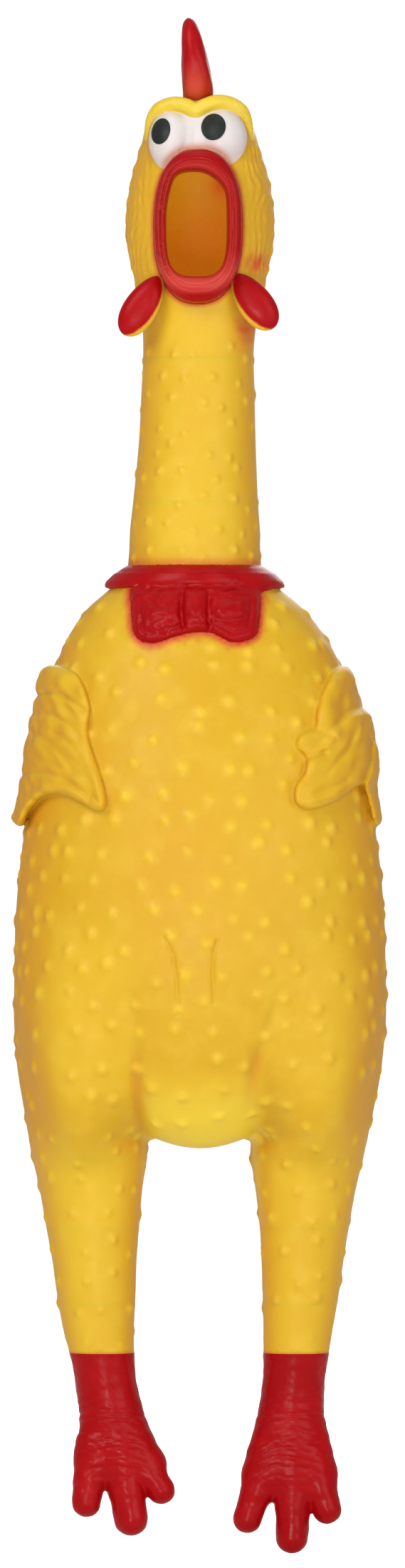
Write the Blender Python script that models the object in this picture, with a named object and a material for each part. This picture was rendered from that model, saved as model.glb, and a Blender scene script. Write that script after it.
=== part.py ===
"""Rubber chicken: a hollow squeeze toy with a squeaker in its throat, held upright by the body.

Sizes are in millimetres and turn into metres where a mesh is made. The chicken faces -Y, its head is
at +Z and its left side is at +X. The origin is the middle of the body, where a hand squeezes it.
"""

import math

import bmesh
import bpy

MM = 0.001

# Driving dimensions
WALL = 1.4  # moulded skin
GAP = 0.3  # between pieces that touch
NECK_TOP = 157.0  # where the neck runs into the head
HEAD_TOP = 214.5
LEG_TOP = -62.0  # where the legs leave the body
NECK_SIDES = 24
BODY_SIDES = 32
LEG_SIDES = 18

# Rows of the body: height, sideways shift, half width, front and back
BODY = (
    (92.1, -1.4, 17.2, 17.2, 17.2),
    (90.0, -1.4, 18.0, 17.6, 17.8),
    (86.0, -1.4, 22.0, 19.0, 19.8),
    (80.0, -1.2, 28.8, 21.8, 22.4),
    (69.0, -0.6, 35.8, 26.0, 24.8),
    (53.0, 0.0, 40.6, 30.8, 27.0),
    (35.0, 0.0, 43.8, 34.6, 28.8),
    (9.0, 0.0, 47.3, 37.4, 30.0),
    (-14.0, 0.0, 48.4, 38.0, 30.2),
    (-30.0, 0.0, 46.0, 35.6, 28.4),
    (-42.0, 0.0, 37.0, 31.4, 23.4),
    (-51.0, 0.0, 23.5, 25.6, 15.0),
    (-56.5, 0.0, 13.0, 19.0, 6.0),
)
BODY_END = -59.1
COLLAR = (
    (92.1, -1.4, 19.4, 19.4, 19.4),
    (90.4, -1.4, 20.6, 20.0, 20.4),
    (86.2, -1.4, 24.0, 21.2, 21.8),
)

# Rows of the head: height, sideways shift, half width, front and back
HEAD = (
    (152.0, -0.4, 14.4, 14.3, 14.4),
    (160.0, -0.1, 15.6, 15.0, 15.4),
    (170.0, 0.0, 17.5, 16.4, 17.2),
    (180.0, 0.0, 19.1, 17.4, 18.4),
    (190.0, 0.0, 18.4, 17.4, 18.4),
    (199.0, 0.0, 16.1, 16.2, 17.0),
    (206.0, 0.0, 13.8, 14.2, 15.0),
    (211.0, 0.0, 10.8, 11.0, 12.0),
    (213.6, 0.0, 6.0, 6.4, 7.2),
)

# Rows of the neck: height, sideways shift of its centre, radius
NECK = (
    (92.0, -1.4, 17.2),
    (101.5, -1.3, 16.8),
    (110.8, -1.1, 16.0),
    (124.6, -0.7, 15.1),
    (138.5, -0.5, 14.6),
    (148.0, -0.4, 14.3),
    (158.0, 0.0, 14.4),
)

# Rows of each leg: height, distance of its centre from the middle, radius.
# The two legs hang a little differently.
LEGS = {
    "left": (
        (0.0, 30.0, 12.0),
        (-23.0, 31.4, 16.4),
        (-37.0, 30.8, 16.5),
        (-51.0, 29.4, 15.4),
        (-60.6, 28.0, 14.8),
        (-69.8, 27.5, 13.1),
        (-79.1, 27.2, 11.7),
        (-88.3, 26.7, 10.7),
        (-97.6, 26.2, 9.9),
        (-106.8, 25.5, 9.0),
        (-116.0, 24.8, 8.4),
    ),
    "right": (
        (0.0, 30.0, 12.0),
        (-23.0, 31.4, 16.4),
        (-37.0, 31.0, 16.6),
        (-51.0, 29.9, 15.6),
        (-60.6, 28.8, 15.1),
        (-69.8, 28.4, 13.4),
        (-79.1, 28.0, 12.2),
        (-88.3, 27.5, 11.0),
        (-97.6, 27.0, 10.2),
        (-106.8, 26.4, 9.2),
        (-116.0, 25.2, 8.3),
    ),
}

# Each foot: rows of height, distance from the middle, half width, half depth, forward shift.
# Its toes follow
# as (distance from the middle, height of the tip's centre, tip radius, forward shift)
FEET = {
    "left": {
        "rows": (
            (-113.1, 25.0, 8.5, 8.5, 0.0),
            (-121.0, 24.4, 7.9, 7.6, 0.3),
            (-130.0, 23.6, 8.5, 7.2, 1.0),
            (-139.0, 23.6, 10.3, 6.6, 2.2),
            (-147.0, 23.4, 11.8, 5.2, 3.4),
        ),
        "toes": (
            (31.6, -153.4, 3.9, 4.6),
            (23.9, -160.9, 4.1, 5.4),
            (13.6, -156.0, 3.9, 4.6),
        ),
    },
    "right": {
        "rows": (
            (-113.1, 25.5, 8.4, 8.4, 0.0),
            (-121.0, 24.4, 8.0, 7.7, 0.3),
            (-129.0, 22.9, 8.6, 7.2, 1.0),
            (-136.0, 21.4, 10.0, 6.8, 2.0),
            (-142.5, 20.0, 11.6, 5.4, 3.2),
        ),
        "toes": (
            (29.2, -151.8, 3.7, 4.6),
            (17.9, -156.1, 4.1, 5.4),
            (10.8, -148.6, 3.9, 4.6),
        ),
    },
}
TOE_ROOT = 10.0  # the toes start this far above the last row of the foot
SIDES = {"left": 1, "right": -1}

# Flexing zones of the skin: top and bottom height
NECK_FLEXES = {
    "neck_base_flex": (104.5, 92.4),
    "neck_mid_flex": (122.0, 111.0),
    "throat_flex": (157.0, 148.6),
}
LEG_FLEXES = {
    "hip_flex": (-62.3, -76.0),
    "leg_flex": (-84.5, -95.5),
    "ankle_flex": (-104.2, -112.5),
}

# The comb: side outline as (y, z) points, with four rounded points that step down towards the back
COMB_TOP = 235.0
COMB_ROOT = 3.3  # height of its flexing root over the head
COMB_AXIS = 216.4
COMB_SWING = 2.4  # room for the comb's lower edge over the brow
BROW_TOP = 214.9
COMB = (
    (-12.0, 206.0), (-12.6, 214.0), (-13.2, 224.0), (-12.2, 231.5), (-8.6, 234.8), (-5.0, 232.0),
    (-3.6, 227.0), (-1.8, 230.0), (1.6, 231.0), (4.6, 228.4), (5.4, 224.2), (7.4, 226.0),
    (10.4, 225.8), (12.8, 222.8), (13.0, 218.8), (15.0, 219.4), (17.6, 217.4), (18.2, 212.6),
    (15.0, 206.0),
)

# Each wattle: centre, half sizes, and its lean in degrees
WATTLES = {
    "left_wattle": ((14.0, -14.8, 159.8), (4.3, 2.3, 8.2), -36.0),
    "right_wattle": ((-14.9, -14.8, 158.9), (4.2, 2.3, 8.8), 32.0),
}

# The mouth: centre and half sizes of the beak ring's outside and of the hole through it
BEAK_CENTRE = (-0.5, 180.9)
BEAK_HALF = (11.6, 20.0)
MOUTH_CENTRE = (-0.9, 181.5)
MOUTH_HALF = (7.7, 13.4)
BEAK_POWER = 2.4
MOUTH_POWER = 3.2
BEAK_FRONT = -26.0
BEAK_SHOULDER = -21.0  # where the ring's outer side starts to round over
BEAK_LIP = -23.0
BEAK_BACK = -8.0  # inside the head

# The squeaker pressed into the throat
BARREL_TOP = 145.0
BARREL_BOTTOM = 126.0
BARREL_RADIUS = 12.4
BARREL_WALL = 1.4
BARREL_FLOOR = 1.6
SEAT_RADIUS = 3.6
SEAT_WALL = 1.0
SEAT_FACE = -0.2  # the flat the reed lies against
CAP_BELOW = (2.4, 0.6)  # the cap's underside and top, below the barrel's top
CAP_HOLES = 5
CAP_HOLE_RADIUS = 1.8
CAP_HOLE_CIRCLE = 6.0
SEAT_LIFT = 0.4
SEAT_FLOOR = 1.6
REED_LIFT = 2.2
REED_WIDTH = 6.0
REED_LENGTH = 11.0
REED_THICKNESS = 0.5

# The wall of the belly that a thumb presses in: centre and half sizes
PANEL_CENTRE = (0.0, 8.0)
PANEL_HALF = (24.0, 40.0)
PANEL_BACK = -8.0  # its cutter ends inside the hollow body

# Reliefs on the skin: how far each stands out
BOW_PROUD = 3.2
WING_PROUD = 3.4
WING_BACK = 10.0  # the wings run round the sides to here
EYE_PROUD = 2.4
BROW_PROUD = 3.0
PUPIL_BED = 3.0
PUPIL_PROUD = 3.7

# Outlines of those reliefs seen from the front, as (x, z)
BOW = (
    (-17.4, 84.0), (-10.0, 85.6), (-4.0, 85.4), (3.0, 85.4), (10.0, 85.6), (15.0, 84.0),
    (15.3, 78.0), (14.0, 73.6), (8.4, 72.2), (3.0, 74.4), (-1.4, 74.4), (-6.5, 73.2),
    (-12.0, 72.0), (-16.4, 73.4), (-17.6, 78.5),
)
WINGS = {
    "left_wing": (
        (38.6, 66.8), (44.6, 63.0), (50.0, 50.0), (53.0, 35.0), (52.0, 25.6), (46.6, 24.6),
        (44.0, 33.0), (38.0, 31.6), (28.4, 28.6), (24.4, 30.6), (26.6, 38.0), (24.6, 44.6),
        (29.4, 49.6), (30.4, 56.0), (33.6, 64.6),
    ),
    "right_wing": (
        (-38.6, 66.0), (-44.6, 61.0), (-50.0, 50.0), (-53.0, 33.0), (-51.0, 24.8), (-45.6, 25.4),
        (-42.0, 30.8), (-36.0, 33.0), (-29.6, 30.4), (-23.4, 29.2), (-24.4, 35.6), (-27.4, 41.5),
        (-29.8, 50.0), (-28.6, 58.2), (-32.4, 65.0),
    ),
}
BROW = (
    (-14.4, 203.0), (-13.4, 209.0), (-8.6, 213.8), (-1.6, 212.6), (5.0, 214.3), (11.0, 212.4),
    (14.0, 207.6), (14.2, 203.0), (13.2, 206.4), (9.6, 209.8), (5.0, 211.2), (-1.0, 209.6),
    (-7.4, 210.0), (-12.0, 207.4),
)
# Each eye and pupil: centre and half sizes
EYES = {"right_eye": ((-7.4, 203.6), (5.6, 6.8)), "left_eye": ((5.8, 204.2), (7.0, 7.4))}
PUPILS = {"right_pupil": ((-9.6, 205.0), (2.3, 3.3)), "left_pupil": ((3.6, 206.4), (3.0, 3.4))}
# The tail: height, x, y, half width, half depth
TAIL = (
    (-22.0, 0.0, 24.0, 4.0, 3.0), (-30.0, 0.0, 26.0, 8.0, 7.0), (-38.0, 0.0, 25.0, 9.0, 9.0),
    (-46.0, 0.0, 22.0, 8.0, 8.5), (-52.0, 0.0, 18.0, 5.0, 6.0),
)

# Ends of cutters, clear of the whole object
FRONT = -60.0
ABOVE_BODY = 110.0
BELOW_HEAD = 140.0

# Painted colours of the skin
YELLOW = (0.86, 0.52, 0.03)
LEMON = (0.90, 0.66, 0.05)
RED = (0.50, 0.01, 0.015)
WHITE = (0.85, 0.80, 0.82)
BLACK = (0.01, 0.012, 0.01)
CREAM = (0.80, 0.78, 0.70)
STEEL = (0.75, 0.74, 0.70)


# ---------------------------------------------------------------- materials

def material(name, colour, roughness, metallic=0.0):
    made = bpy.data.materials.get(name) or bpy.data.materials.new(name)
    made.use_nodes = True
    shader = made.node_tree.nodes["Principled BSDF"]
    shader.inputs["Base Color"].default_value = (*colour, 1.0)
    shader.inputs["Roughness"].default_value = roughness
    shader.inputs["Metallic"].default_value = metallic
    return made


def yellow_skin():
    return material("yellow_skin", YELLOW, 0.45)


def red_paint():
    return material("red_paint", RED, 0.4)


# ---------------------------------------------------------------- rows and rings

def row_at(rows, height):
    """The values of a row at this height, on a smooth curve through the rows."""
    rows = sorted(rows)
    heights = [row[0] for row in rows]
    height = min(max(height, heights[0]), heights[-1])
    i = max(1, next(k for k, h in enumerate(heights) if h >= height))
    low, high = rows[i - 1], rows[i]
    before, after = rows[max(i - 2, 0)], rows[min(i + 1, len(rows) - 1)]
    step = high[0] - low[0]
    t = (height - low[0]) / step
    values = []
    for k in range(1, len(low)):
        slope_low = (high[k] - before[k]) / (high[0] - before[0]) * step
        slope_high = (after[k] - low[k]) / (after[0] - low[0]) * step
        values.append(
            low[k] * (2 * t**3 - 3 * t**2 + 1)
            + slope_low * (t**3 - 2 * t**2 + t)
            + high[k] * (3 * t**2 - 2 * t**3)
            + slope_high * (t**3 - t**2)
        )
    return values


def grown(ovals, offset):
    """Ovals (height, x, y, half width, half depth) moved outwards by offset, along their own slope."""
    made = []
    for i, (z, x, y, rx, ry) in enumerate(ovals):
        a, b = ovals[max(i - 1, 0)], ovals[min(i + 1, len(ovals) - 1)]
        rise = b[0] - a[0]
        slope = (b[3] + b[4] - a[3] - a[4]) / 2 / rise if abs(rise) > 1e-6 else 0.0
        length = math.hypot(1.0, slope)
        made.append((z - offset * slope / length, x, y, rx + offset / length, ry + offset / length))
    return made


def body_ovals(rows, offset=0.0):
    return grown([(z, x, (b - f) / 2, a, (f + b) / 2) for z, x, a, f, b in rows], offset)


def round_ovals(rows, heights, side=1):
    """Round ovals of a neck or a leg at these heights."""
    made = []
    for z in heights:
        x, radius = row_at(rows, z)
        made.append((z, side * x, 0.0, radius, radius))
    return made


def ring(bm, oval, sides):
    z, x, y, rx, ry = oval
    angles = [2 * math.pi * k / sides for k in range(sides)]
    return [
        bm.verts.new(((x + rx * math.cos(a)) * MM, (y + ry * math.sin(a)) * MM, z * MM))
        for a in angles
    ]


# ---------------------------------------------------------------- objects

def place(name, bm, skin, smooth=True):
    """Finishes a bmesh as an object: outward faces, round shading and its material."""
    bmesh.ops.recalc_face_normals(bm, faces=bm.faces)
    mesh = bpy.data.meshes.new(name)
    bm.to_mesh(mesh)
    bm.free()
    if smooth:
        mesh.shade_smooth()
        mesh.set_sharp_from_angle(angle=math.radians(40))
    mesh.materials.append(skin)
    obj = bpy.data.objects.new(name, mesh)
    bpy.context.scene.collection.objects.link(obj)
    return obj


def helper(obj):
    """A cutter or guide, which is no part of the object."""
    obj.hide_render = True
    obj.display_type = "WIRE"
    return obj


def boolean(obj, other, operation):
    step = obj.modifiers.new(operation.lower(), "BOOLEAN")
    step.object = other
    step.operation = operation
    step.solver = "EXACT"
    return obj


def cut(obj, *others):
    for other in others:
        boolean(obj, other, "DIFFERENCE")
    return obj


def lofted(name, ovals, skin, sides=BODY_SIDES, start_pole=None, end_pole=None):
    """A closed solid through ovals, each end flat or drawn to a pole at that height."""
    bm = bmesh.new()
    rings = [ring(bm, oval, sides) for oval in ovals]
    for a, b in zip(rings, rings[1:]):
        for k in range(sides):
            bm.faces.new((a[k], a[(k + 1) % sides], b[(k + 1) % sides], b[k]))
    for end, oval, pole in ((rings[0], ovals[0], start_pole), (rings[-1], ovals[-1], end_pole)):
        if pole is None:
            bm.faces.new(end)
            continue
        tip = bm.verts.new((oval[1] * MM, oval[2] * MM, pole * MM))
        for k in range(sides):
            bm.faces.new((end[k], end[(k + 1) % sides], tip))
    return place(name, bm, skin)


def tube(name, ovals, skin, sides, wall=WALL):
    """A tube through ovals, open at both ends."""
    bm = bmesh.new()
    inner = [(z, x, y, rx - wall, ry - wall) for z, x, y, rx, ry in ovals]
    rings = [ring(bm, oval, sides) for oval in [*ovals, *reversed(inner)]]
    for a, b in zip(rings, [*rings[1:], rings[0]]):
        for k in range(sides):
            bm.faces.new((a[k], a[(k + 1) % sides], b[(k + 1) % sides], b[k]))
    return place(name, bm, skin)


def prism(name, outline, y_front, y_back):
    """A cutter: an outline of (x, z) points, run along Y."""
    bm = bmesh.new()
    front, back = (
        [bm.verts.new((x * MM, y * MM, z * MM)) for x, z in outline] for y in (y_front, y_back)
    )
    count = len(outline)
    for k in range(count):
        bm.faces.new((front[k], front[(k + 1) % count], back[(k + 1) % count], back[k]))
    bm.faces.new(front)
    bm.faces.new(back)
    return helper(place(name, bm, yellow_skin(), smooth=False))


def ball(name, centre, radii, skin, turn=(0.0, 0.0, 0.0), rings=8, sides=14):
    bm = bmesh.new()
    bmesh.ops.create_uvsphere(bm, u_segments=sides, v_segments=rings, radius=MM)
    for v in bm.verts:
        v.co = [c * r for c, r in zip(v.co, radii)]
    obj = place(name, bm, skin)
    obj.location = [c * MM for c in centre]
    obj.rotation_euler = [math.radians(a) for a in turn]
    return obj


# ---------------------------------------------------------------- outlines

def oval_outline(centre, half, sides=24):
    angles = [2 * math.pi * k / sides for k in range(sides)]
    return [(centre[0] + half[0] * math.cos(a), centre[1] + half[1] * math.sin(a)) for a in angles]


def slot_outline(centre, half, power, sides=28):
    """A rounded slot: an oval whose sides run straighter the higher the power."""
    points = []
    for k in range(sides):
        c, s = math.cos(2 * math.pi * k / sides), math.sin(2 * math.pi * k / sides)
        x = math.copysign(abs(c) ** (2 / power), c)
        z = math.copysign(abs(s) ** (2 / power), s)
        points.append((centre[0] + half[0] * x, centre[1] + half[1] * z))
    return points


def rounded(points, steps=3):
    """A smooth closed curve through points."""
    made = []
    count = len(points)
    for i in range(count):
        p = [points[(i + k) % count] for k in (-1, 0, 1, 2)]
        for j in range(steps):
            t = j / steps
            made.append(tuple(
                0.5 * (2 * p[1][k] + (p[2][k] - p[0][k]) * t
                       + (2 * p[0][k] - 5 * p[1][k] + 4 * p[2][k] - p[3][k]) * t**2
                       + (3 * p[1][k] - p[0][k] - 3 * p[2][k] + p[3][k]) * t**3)
                for k in (0, 1)
            ))
    return made


# ---------------------------------------------------------------- torso

def body_solid(name, offset, skin, top=None):
    """The body's outer shape grown by offset. Its flat top can be raised for a cutter."""
    ovals = body_ovals(BODY, offset)
    if top is not None:
        ovals = [(top, *ovals[0][1:]), *ovals]
    return lofted(name, ovals, skin, end_pole=BODY_END - offset)


def hip_solid(name, side_name, offset, bottom):
    side = SIDES[side_name]
    heights = (-2.0, -23.0, -37.0, -51.0, bottom)
    ovals = [
        (z, x, y - 1.5, rx + offset, ry + offset)
        for z, x, y, rx, ry in round_ovals(LEGS[side_name], heights, side)
    ]
    ovals[-1] = (bottom, ovals[-1][1], 0.0, ovals[-1][3], ovals[-1][4])
    return helper(lofted(name, ovals, yellow_skin(), sides=LEG_SIDES))


def torso():
    """The hollow body with its hip stubs, and the wall of the belly that a thumb presses in."""
    hollow = helper(body_solid("body_hollow", -WALL, yellow_skin(), top=ABOVE_BODY))
    hips = [hip_solid(f"{name}_hip_shape", name, 0.0, LEG_TOP) for name in SIDES]
    hip_hollows = [hip_solid(f"{name}_hip_hollow", name, -WALL, LEG_TOP - 8) for name in SIDES]
    window_half = [h + GAP for h in PANEL_HALF]
    window = prism("belly_window", oval_outline(PANEL_CENTRE, window_half), FRONT, PANEL_BACK)
    pane = prism("belly_pane", oval_outline(PANEL_CENTRE, PANEL_HALF), FRONT, PANEL_BACK)

    shell = body_solid("torso_shell", 0.0, yellow_skin())
    for hip in hips:
        boolean(shell, hip, "UNION")
    cut(shell, hollow, *hip_hollows, window)

    panel = body_solid("belly_panel", 0.0, yellow_skin())
    boolean(panel, pane, "INTERSECT")
    cut(panel, hollow)


def pad(name, outline, thickness, skin, y_back=0.0, over=body_solid):
    """A moulded relief of even thickness that follows the skin under it.

    Its outline is seen from the front.
    """
    outer = over(name, thickness + GAP, skin)
    boolean(outer, prism(f"{name}_outline", outline, FRONT, y_back), "INTERSECT")
    return cut(outer, helper(over(f"{name}_bed", GAP, skin)))


def collar_and_bow():
    collar = lofted("collar", body_ovals(COLLAR), red_paint(), sides=BODY_SIDES)
    cut(collar, helper(body_solid("collar_bed", GAP, red_paint(), top=100.0)))
    pad("bow_tie", rounded(BOW, steps=2), BOW_PROUD, red_paint())


def wings():
    for name, outline in WINGS.items():
        pad(name, rounded(outline, steps=1), WING_PROUD, yellow_skin(), y_back=WING_BACK)


def tail():
    """A short moulded tail at the foot of the back."""
    bed = helper(body_solid("tail_bed", GAP, yellow_skin()))
    cut(lofted("tail", TAIL, yellow_skin(), sides=16), bed)


# ---------------------------------------------------------------- neck

def neck():
    cuts = sorted({z for pair in NECK_FLEXES.values() for z in pair})
    for name, (top, bottom) in NECK_FLEXES.items():
        tube(name, round_ovals(NECK, (bottom, top)), yellow_skin(), NECK_SIDES)
    lower, upper = (cuts[1] + GAP, cuts[2] - GAP), (cuts[3] + GAP, cuts[4] - GAP)
    tube("lower_neck", round_ovals(NECK, lower), yellow_skin(), NECK_SIDES)
    middle = sum(upper) / 2
    tube("upper_neck", round_ovals(NECK, (upper[0], middle, upper[1])), yellow_skin(), NECK_SIDES)


def squeaker():
    """Barrel, cap, reed seat and reed: air from the body passes the reed on its way to the mouth."""
    plastic = material("squeaker_plastic", CREAM, 0.35)
    x = row_at(NECK, (BARREL_TOP + BARREL_BOTTOM) / 2)[0]
    inside = BARREL_RADIUS - BARREL_WALL

    def disc(name, bottom, top, radius, skin=plastic, sides=NECK_SIDES, shift=0.0):
        return lofted(name, [(z, x + shift, 0.0, radius, radius) for z in (bottom, top)], skin, sides)

    barrel = disc("squeaker_barrel", BARREL_BOTTOM, BARREL_TOP, BARREL_RADIUS)
    cut(
        barrel,
        helper(disc("barrel_hollow", BARREL_BOTTOM + BARREL_FLOOR, BARREL_TOP + 5, inside)),
        helper(disc("barrel_inlet", BARREL_BOTTOM - 5, BARREL_TOP, SEAT_RADIUS + GAP, sides=16)),
    )
    cap = disc("squeaker_cap", *[BARREL_TOP - below for below in CAP_BELOW], inside - GAP)
    for k in range(CAP_HOLES):
        angle = 2 * math.pi * k / CAP_HOLES
        ends = (BARREL_TOP - 5, BARREL_TOP + 5)
        aside = CAP_HOLE_CIRCLE * math.cos(angle)
        hole = disc(f"cap_hole_{k}", *ends, CAP_HOLE_RADIUS, sides=8, shift=aside)
        hole.location.y = CAP_HOLE_CIRCLE * math.sin(angle) * MM
        cut(cap, helper(hole))

    seat_bottom = BARREL_BOTTOM + SEAT_LIFT
    seat_top = seat_bottom + REED_LIFT + REED_LENGTH + SEAT_WALL
    seat = disc("reed_seat", seat_bottom, seat_top, SEAT_RADIUS, sides=16)
    above = seat_bottom + SEAT_FLOOR
    clear = 9.0
    front = prism(
        "seat_front",
        ((x - clear, above), (x + clear, above), (x + clear, seat_top + 5), (x - clear, seat_top + 5)),
        -clear, SEAT_FACE,
    )
    bore = SEAT_RADIUS - SEAT_WALL
    trough = disc("seat_trough", seat_bottom - 2, seat_top - SEAT_WALL, bore, sides=12)
    cut(seat, helper(trough), front)

    reed = bmesh.new()
    bmesh.ops.create_cube(reed, size=MM)
    for v in reed.verts:
        v.co = (v.co.x * REED_WIDTH, v.co.y * REED_THICKNESS, v.co.z * REED_LENGTH)
    tongue = place("reed", reed, material("reed_metal", STEEL, 0.3, 1.0), smooth=False)
    reed_y = SEAT_FACE - GAP - REED_THICKNESS / 2
    reed_z = seat_bottom + REED_LIFT + REED_LENGTH / 2
    tongue.location = (x * MM, reed_y * MM, reed_z * MM)


# ---------------------------------------------------------------- head

def head_solid(name, offset, skin, bottom=None):
    ovals = body_ovals(HEAD, offset)
    if bottom is not None:
        ovals = [(bottom, *ovals[0][1:]), *ovals[1:]]
    return lofted(name, ovals, skin, sides=24, end_pole=HEAD_TOP + offset)


def head():
    """The hollow head with its open mouth, and the painted reliefs on its face."""
    floor = NECK_TOP + GAP
    shell = head_solid("head_shell", 0.0, yellow_skin())
    neck_end = [(z, 0, 0, 30, 30) for z in (BELOW_HEAD, floor)]
    neck_end = helper(lofted("head_foot", neck_end, yellow_skin(), 12))
    mouth = slot_outline(MOUTH_CENTRE, MOUTH_HALF, MOUTH_POWER)
    mouth = prism("mouth_hole", mouth, FRONT, BEAK_BACK / 2)
    hollow = helper(head_solid("head_hollow", -WALL, yellow_skin(), bottom=BELOW_HEAD))
    cut(shell, hollow, neck_end, mouth)

    beak = beak_ring()
    cut(beak, helper(head_solid("beak_bed", GAP, red_paint())))

    ring_half = [h + GAP for h in BEAK_HALF]
    ring_zone = prism("beak_zone", slot_outline(BEAK_CENTRE, ring_half, BEAK_POWER), FRONT, 0)
    zones = []
    for name, (centre, half) in EYES.items():
        white = material("eye_white", WHITE, 0.35)
        cut(pad(name, oval_outline(centre, half, 16), EYE_PROUD, white, over=head_solid), ring_zone)
        zone = oval_outline(centre, [h + GAP for h in half], 16)
        zones.append(prism(f"{name}_zone", zone, FRONT, 0))
    for name, (centre, half) in PUPILS.items():
        pupil(name, centre, half)
    lemon = material("lemon_skin", LEMON, 0.45)
    cut(pad("brow_ridge", rounded(BROW, steps=1), BROW_PROUD, lemon, over=head_solid), *zones)


def beak_ring():
    """The lips: a rounded band round the mouth hole, standing out from the face."""
    bm = bmesh.new()
    middle = [(o + i) / 2 for o, i in zip(BEAK_HALF, MOUTH_HALF)]
    section = (
        (BEAK_HALF, BEAK_CENTRE, BEAK_POWER, BEAK_BACK),
        (BEAK_HALF, BEAK_CENTRE, BEAK_POWER, BEAK_SHOULDER),
        (middle, BEAK_CENTRE, (BEAK_POWER + MOUTH_POWER) / 2, BEAK_FRONT),
        (MOUTH_HALF, MOUTH_CENTRE, MOUTH_POWER, BEAK_LIP),
        (MOUTH_HALF, MOUTH_CENTRE, MOUTH_POWER, BEAK_BACK),
    )
    rings = [
        [bm.verts.new((x * MM, y * MM, z * MM)) for x, z in slot_outline(centre, half, power)]
        for half, centre, power, y in section
    ]
    for a, b in zip(rings, [*rings[1:], rings[0]]):
        for k in range(len(a)):
            bm.faces.new((a[k], a[(k + 1) % len(a)], b[(k + 1) % len(a)], b[k]))
    return place("beak", bm, red_paint())


def pupil(name, centre, half):
    """A thin black disc that follows the eye's dome."""
    black = material("pupil_black", BLACK, 0.25)
    disc = head_solid(name, PUPIL_PROUD, black)
    boolean(disc, prism(f"{name}_outline", oval_outline(centre, half, 14), FRONT, 0.0), "INTERSECT")
    cut(disc, helper(head_solid(f"{name}_bed", PUPIL_BED, black)))


def fin(name, skin):
    """The comb's outline as a solid that tapers towards its top."""
    outline = rounded(COMB, steps=2)
    bm = bmesh.new()
    sides = []
    for way in (-1, 1):
        face = []
        for y, z in outline:
            t = (z - HEAD_TOP) / (COMB_TOP - HEAD_TOP)
            face.append(bm.verts.new(((-0.7 - 1.6 * t + way * (3.9 - 1.7 * t)) * MM, y * MM, z * MM)))
        sides.append(face)
    for k in range(len(outline)):
        j = (k + 1) % len(outline)
        bm.faces.new((sides[0][k], sides[0][j], sides[1][j], sides[1][k]))
    for face in sides:
        bm.faces.new(face)
    return place(name, bm, skin, smooth=False)


def brow_zone(name, top):
    """A cutter over the front of the head, where the brow lies."""
    return prism(name, ((-30, 190), (30, 190), (30, top), (-30, top)), FRONT, -2)


def comb():
    """The upright fin on the head: its points, and the thin root on which they wag."""
    points = fin("comb", red_paint())
    cut(
        points,
        helper(head_solid("comb_bed", COMB_ROOT + GAP, red_paint())),
        brow_zone("comb_brow_zone", BROW_TOP + COMB_SWING),
    )
    root = fin("comb_flex", red_paint())
    boolean(root, helper(head_solid("comb_root_top", COMB_ROOT, red_paint())), "INTERSECT")
    bed = helper(head_solid("comb_root_bed", GAP, red_paint()))
    cut(root, bed, brow_zone("root_brow_zone", BROW_TOP))


def wattles():
    """The two red lobes that hang from the corners of the beak, each free to flap outwards."""
    zone = slot_outline(BEAK_CENTRE, [h + 2 * GAP for h in BEAK_HALF], BEAK_POWER)
    beak_zone = prism("wattle_beak_zone", zone, FRONT, 0)
    for name, (centre, radii, lean) in WATTLES.items():
        cut(ball(name, centre, radii, red_paint(), (8.0, lean, 0.0)), beak_zone)


def wattle_root(name):
    """The upper end of a wattle, where it hinges."""
    centre, radii, lean = WATTLES[name]
    return (
        centre[0] + radii[2] * math.sin(math.radians(lean)),
        centre[1],
        centre[2] + radii[2] * math.cos(math.radians(lean)),
    )


# ---------------------------------------------------------------- legs

def legs():
    cuts = sorted({z for pair in LEG_FLEXES.values() for z in pair})
    for name, side in SIDES.items():
        for flex, (top, bottom) in LEG_FLEXES.items():
            ovals = round_ovals(LEGS[name], (bottom, top), side)
            tube(f"{name}_{flex}", ovals, yellow_skin(), LEG_SIDES)
        thigh, shank = (cuts[3] + GAP, cuts[4] - GAP), (cuts[1] + GAP, cuts[2] - GAP)
        tube(f"{name}_thigh", round_ovals(LEGS[name], thigh, side), yellow_skin(), LEG_SIDES)
        tube(f"{name}_shank", round_ovals(LEGS[name], shank, side), yellow_skin(), LEG_SIDES)
        foot(name, side)


def foot(side_name, side):
    """A red foot: hollow at the ankle, with three blunt toes."""
    plan = FEET[side_name]
    ovals = [(z, side * x, -ahead, rx, ry) for z, x, rx, ry, ahead in plan["rows"]]
    obj = lofted(f"{side_name}_foot", ovals, red_paint(), sides=LEG_SIDES)
    last = ovals[-1]
    for k, (x, z, radius, ahead) in enumerate(plan["toes"]):
        toe_ovals = toe(side * x, z, radius, ahead, last)
        name, end = f"{side_name}_toe_{k}", z - radius
        tip = helper(lofted(name, toe_ovals, red_paint(), sides=12, end_pole=end))
        boolean(obj, tip, "UNION")
    hollow = [(z, x, y, rx - WALL, ry - WALL) for z, x, y, rx, ry in ovals[:4]]
    hollow[0] = (hollow[0][0] + 4, *hollow[0][1:])
    cut(obj, helper(lofted(f"{side_name}_foot_hollow", hollow, red_paint(), sides=LEG_SIDES)))


def toe(x, z, radius, ahead, palm):
    """Ovals of one toe, from inside the palm to its round tip."""
    root = palm[0] + TOE_ROOT
    root_x = palm[1] + (x - palm[1]) * 0.35
    made = []
    for t in (0.0, 0.35, 0.7, 1.0):
        swell = radius * (1.0 - 0.08 * math.sin(math.pi * t))
        middle = (root + (z - root) * t, root_x + (x - root_x) * t, palm[2] + (-ahead - palm[2]) * t)
        made.append((*middle, swell, swell))
    made.append((z - radius * 0.7, x, -ahead, radius * 0.72, radius * 0.72))
    return made


# ---------------------------------------------------------------- whole object

def middle_of(rows, flex, side=1):
    """The middle of a flexing zone, on the centreline of its neck or leg."""
    height = sum(flex) / 2
    return (side * row_at(rows, height)[0], 0.0, height)


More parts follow.
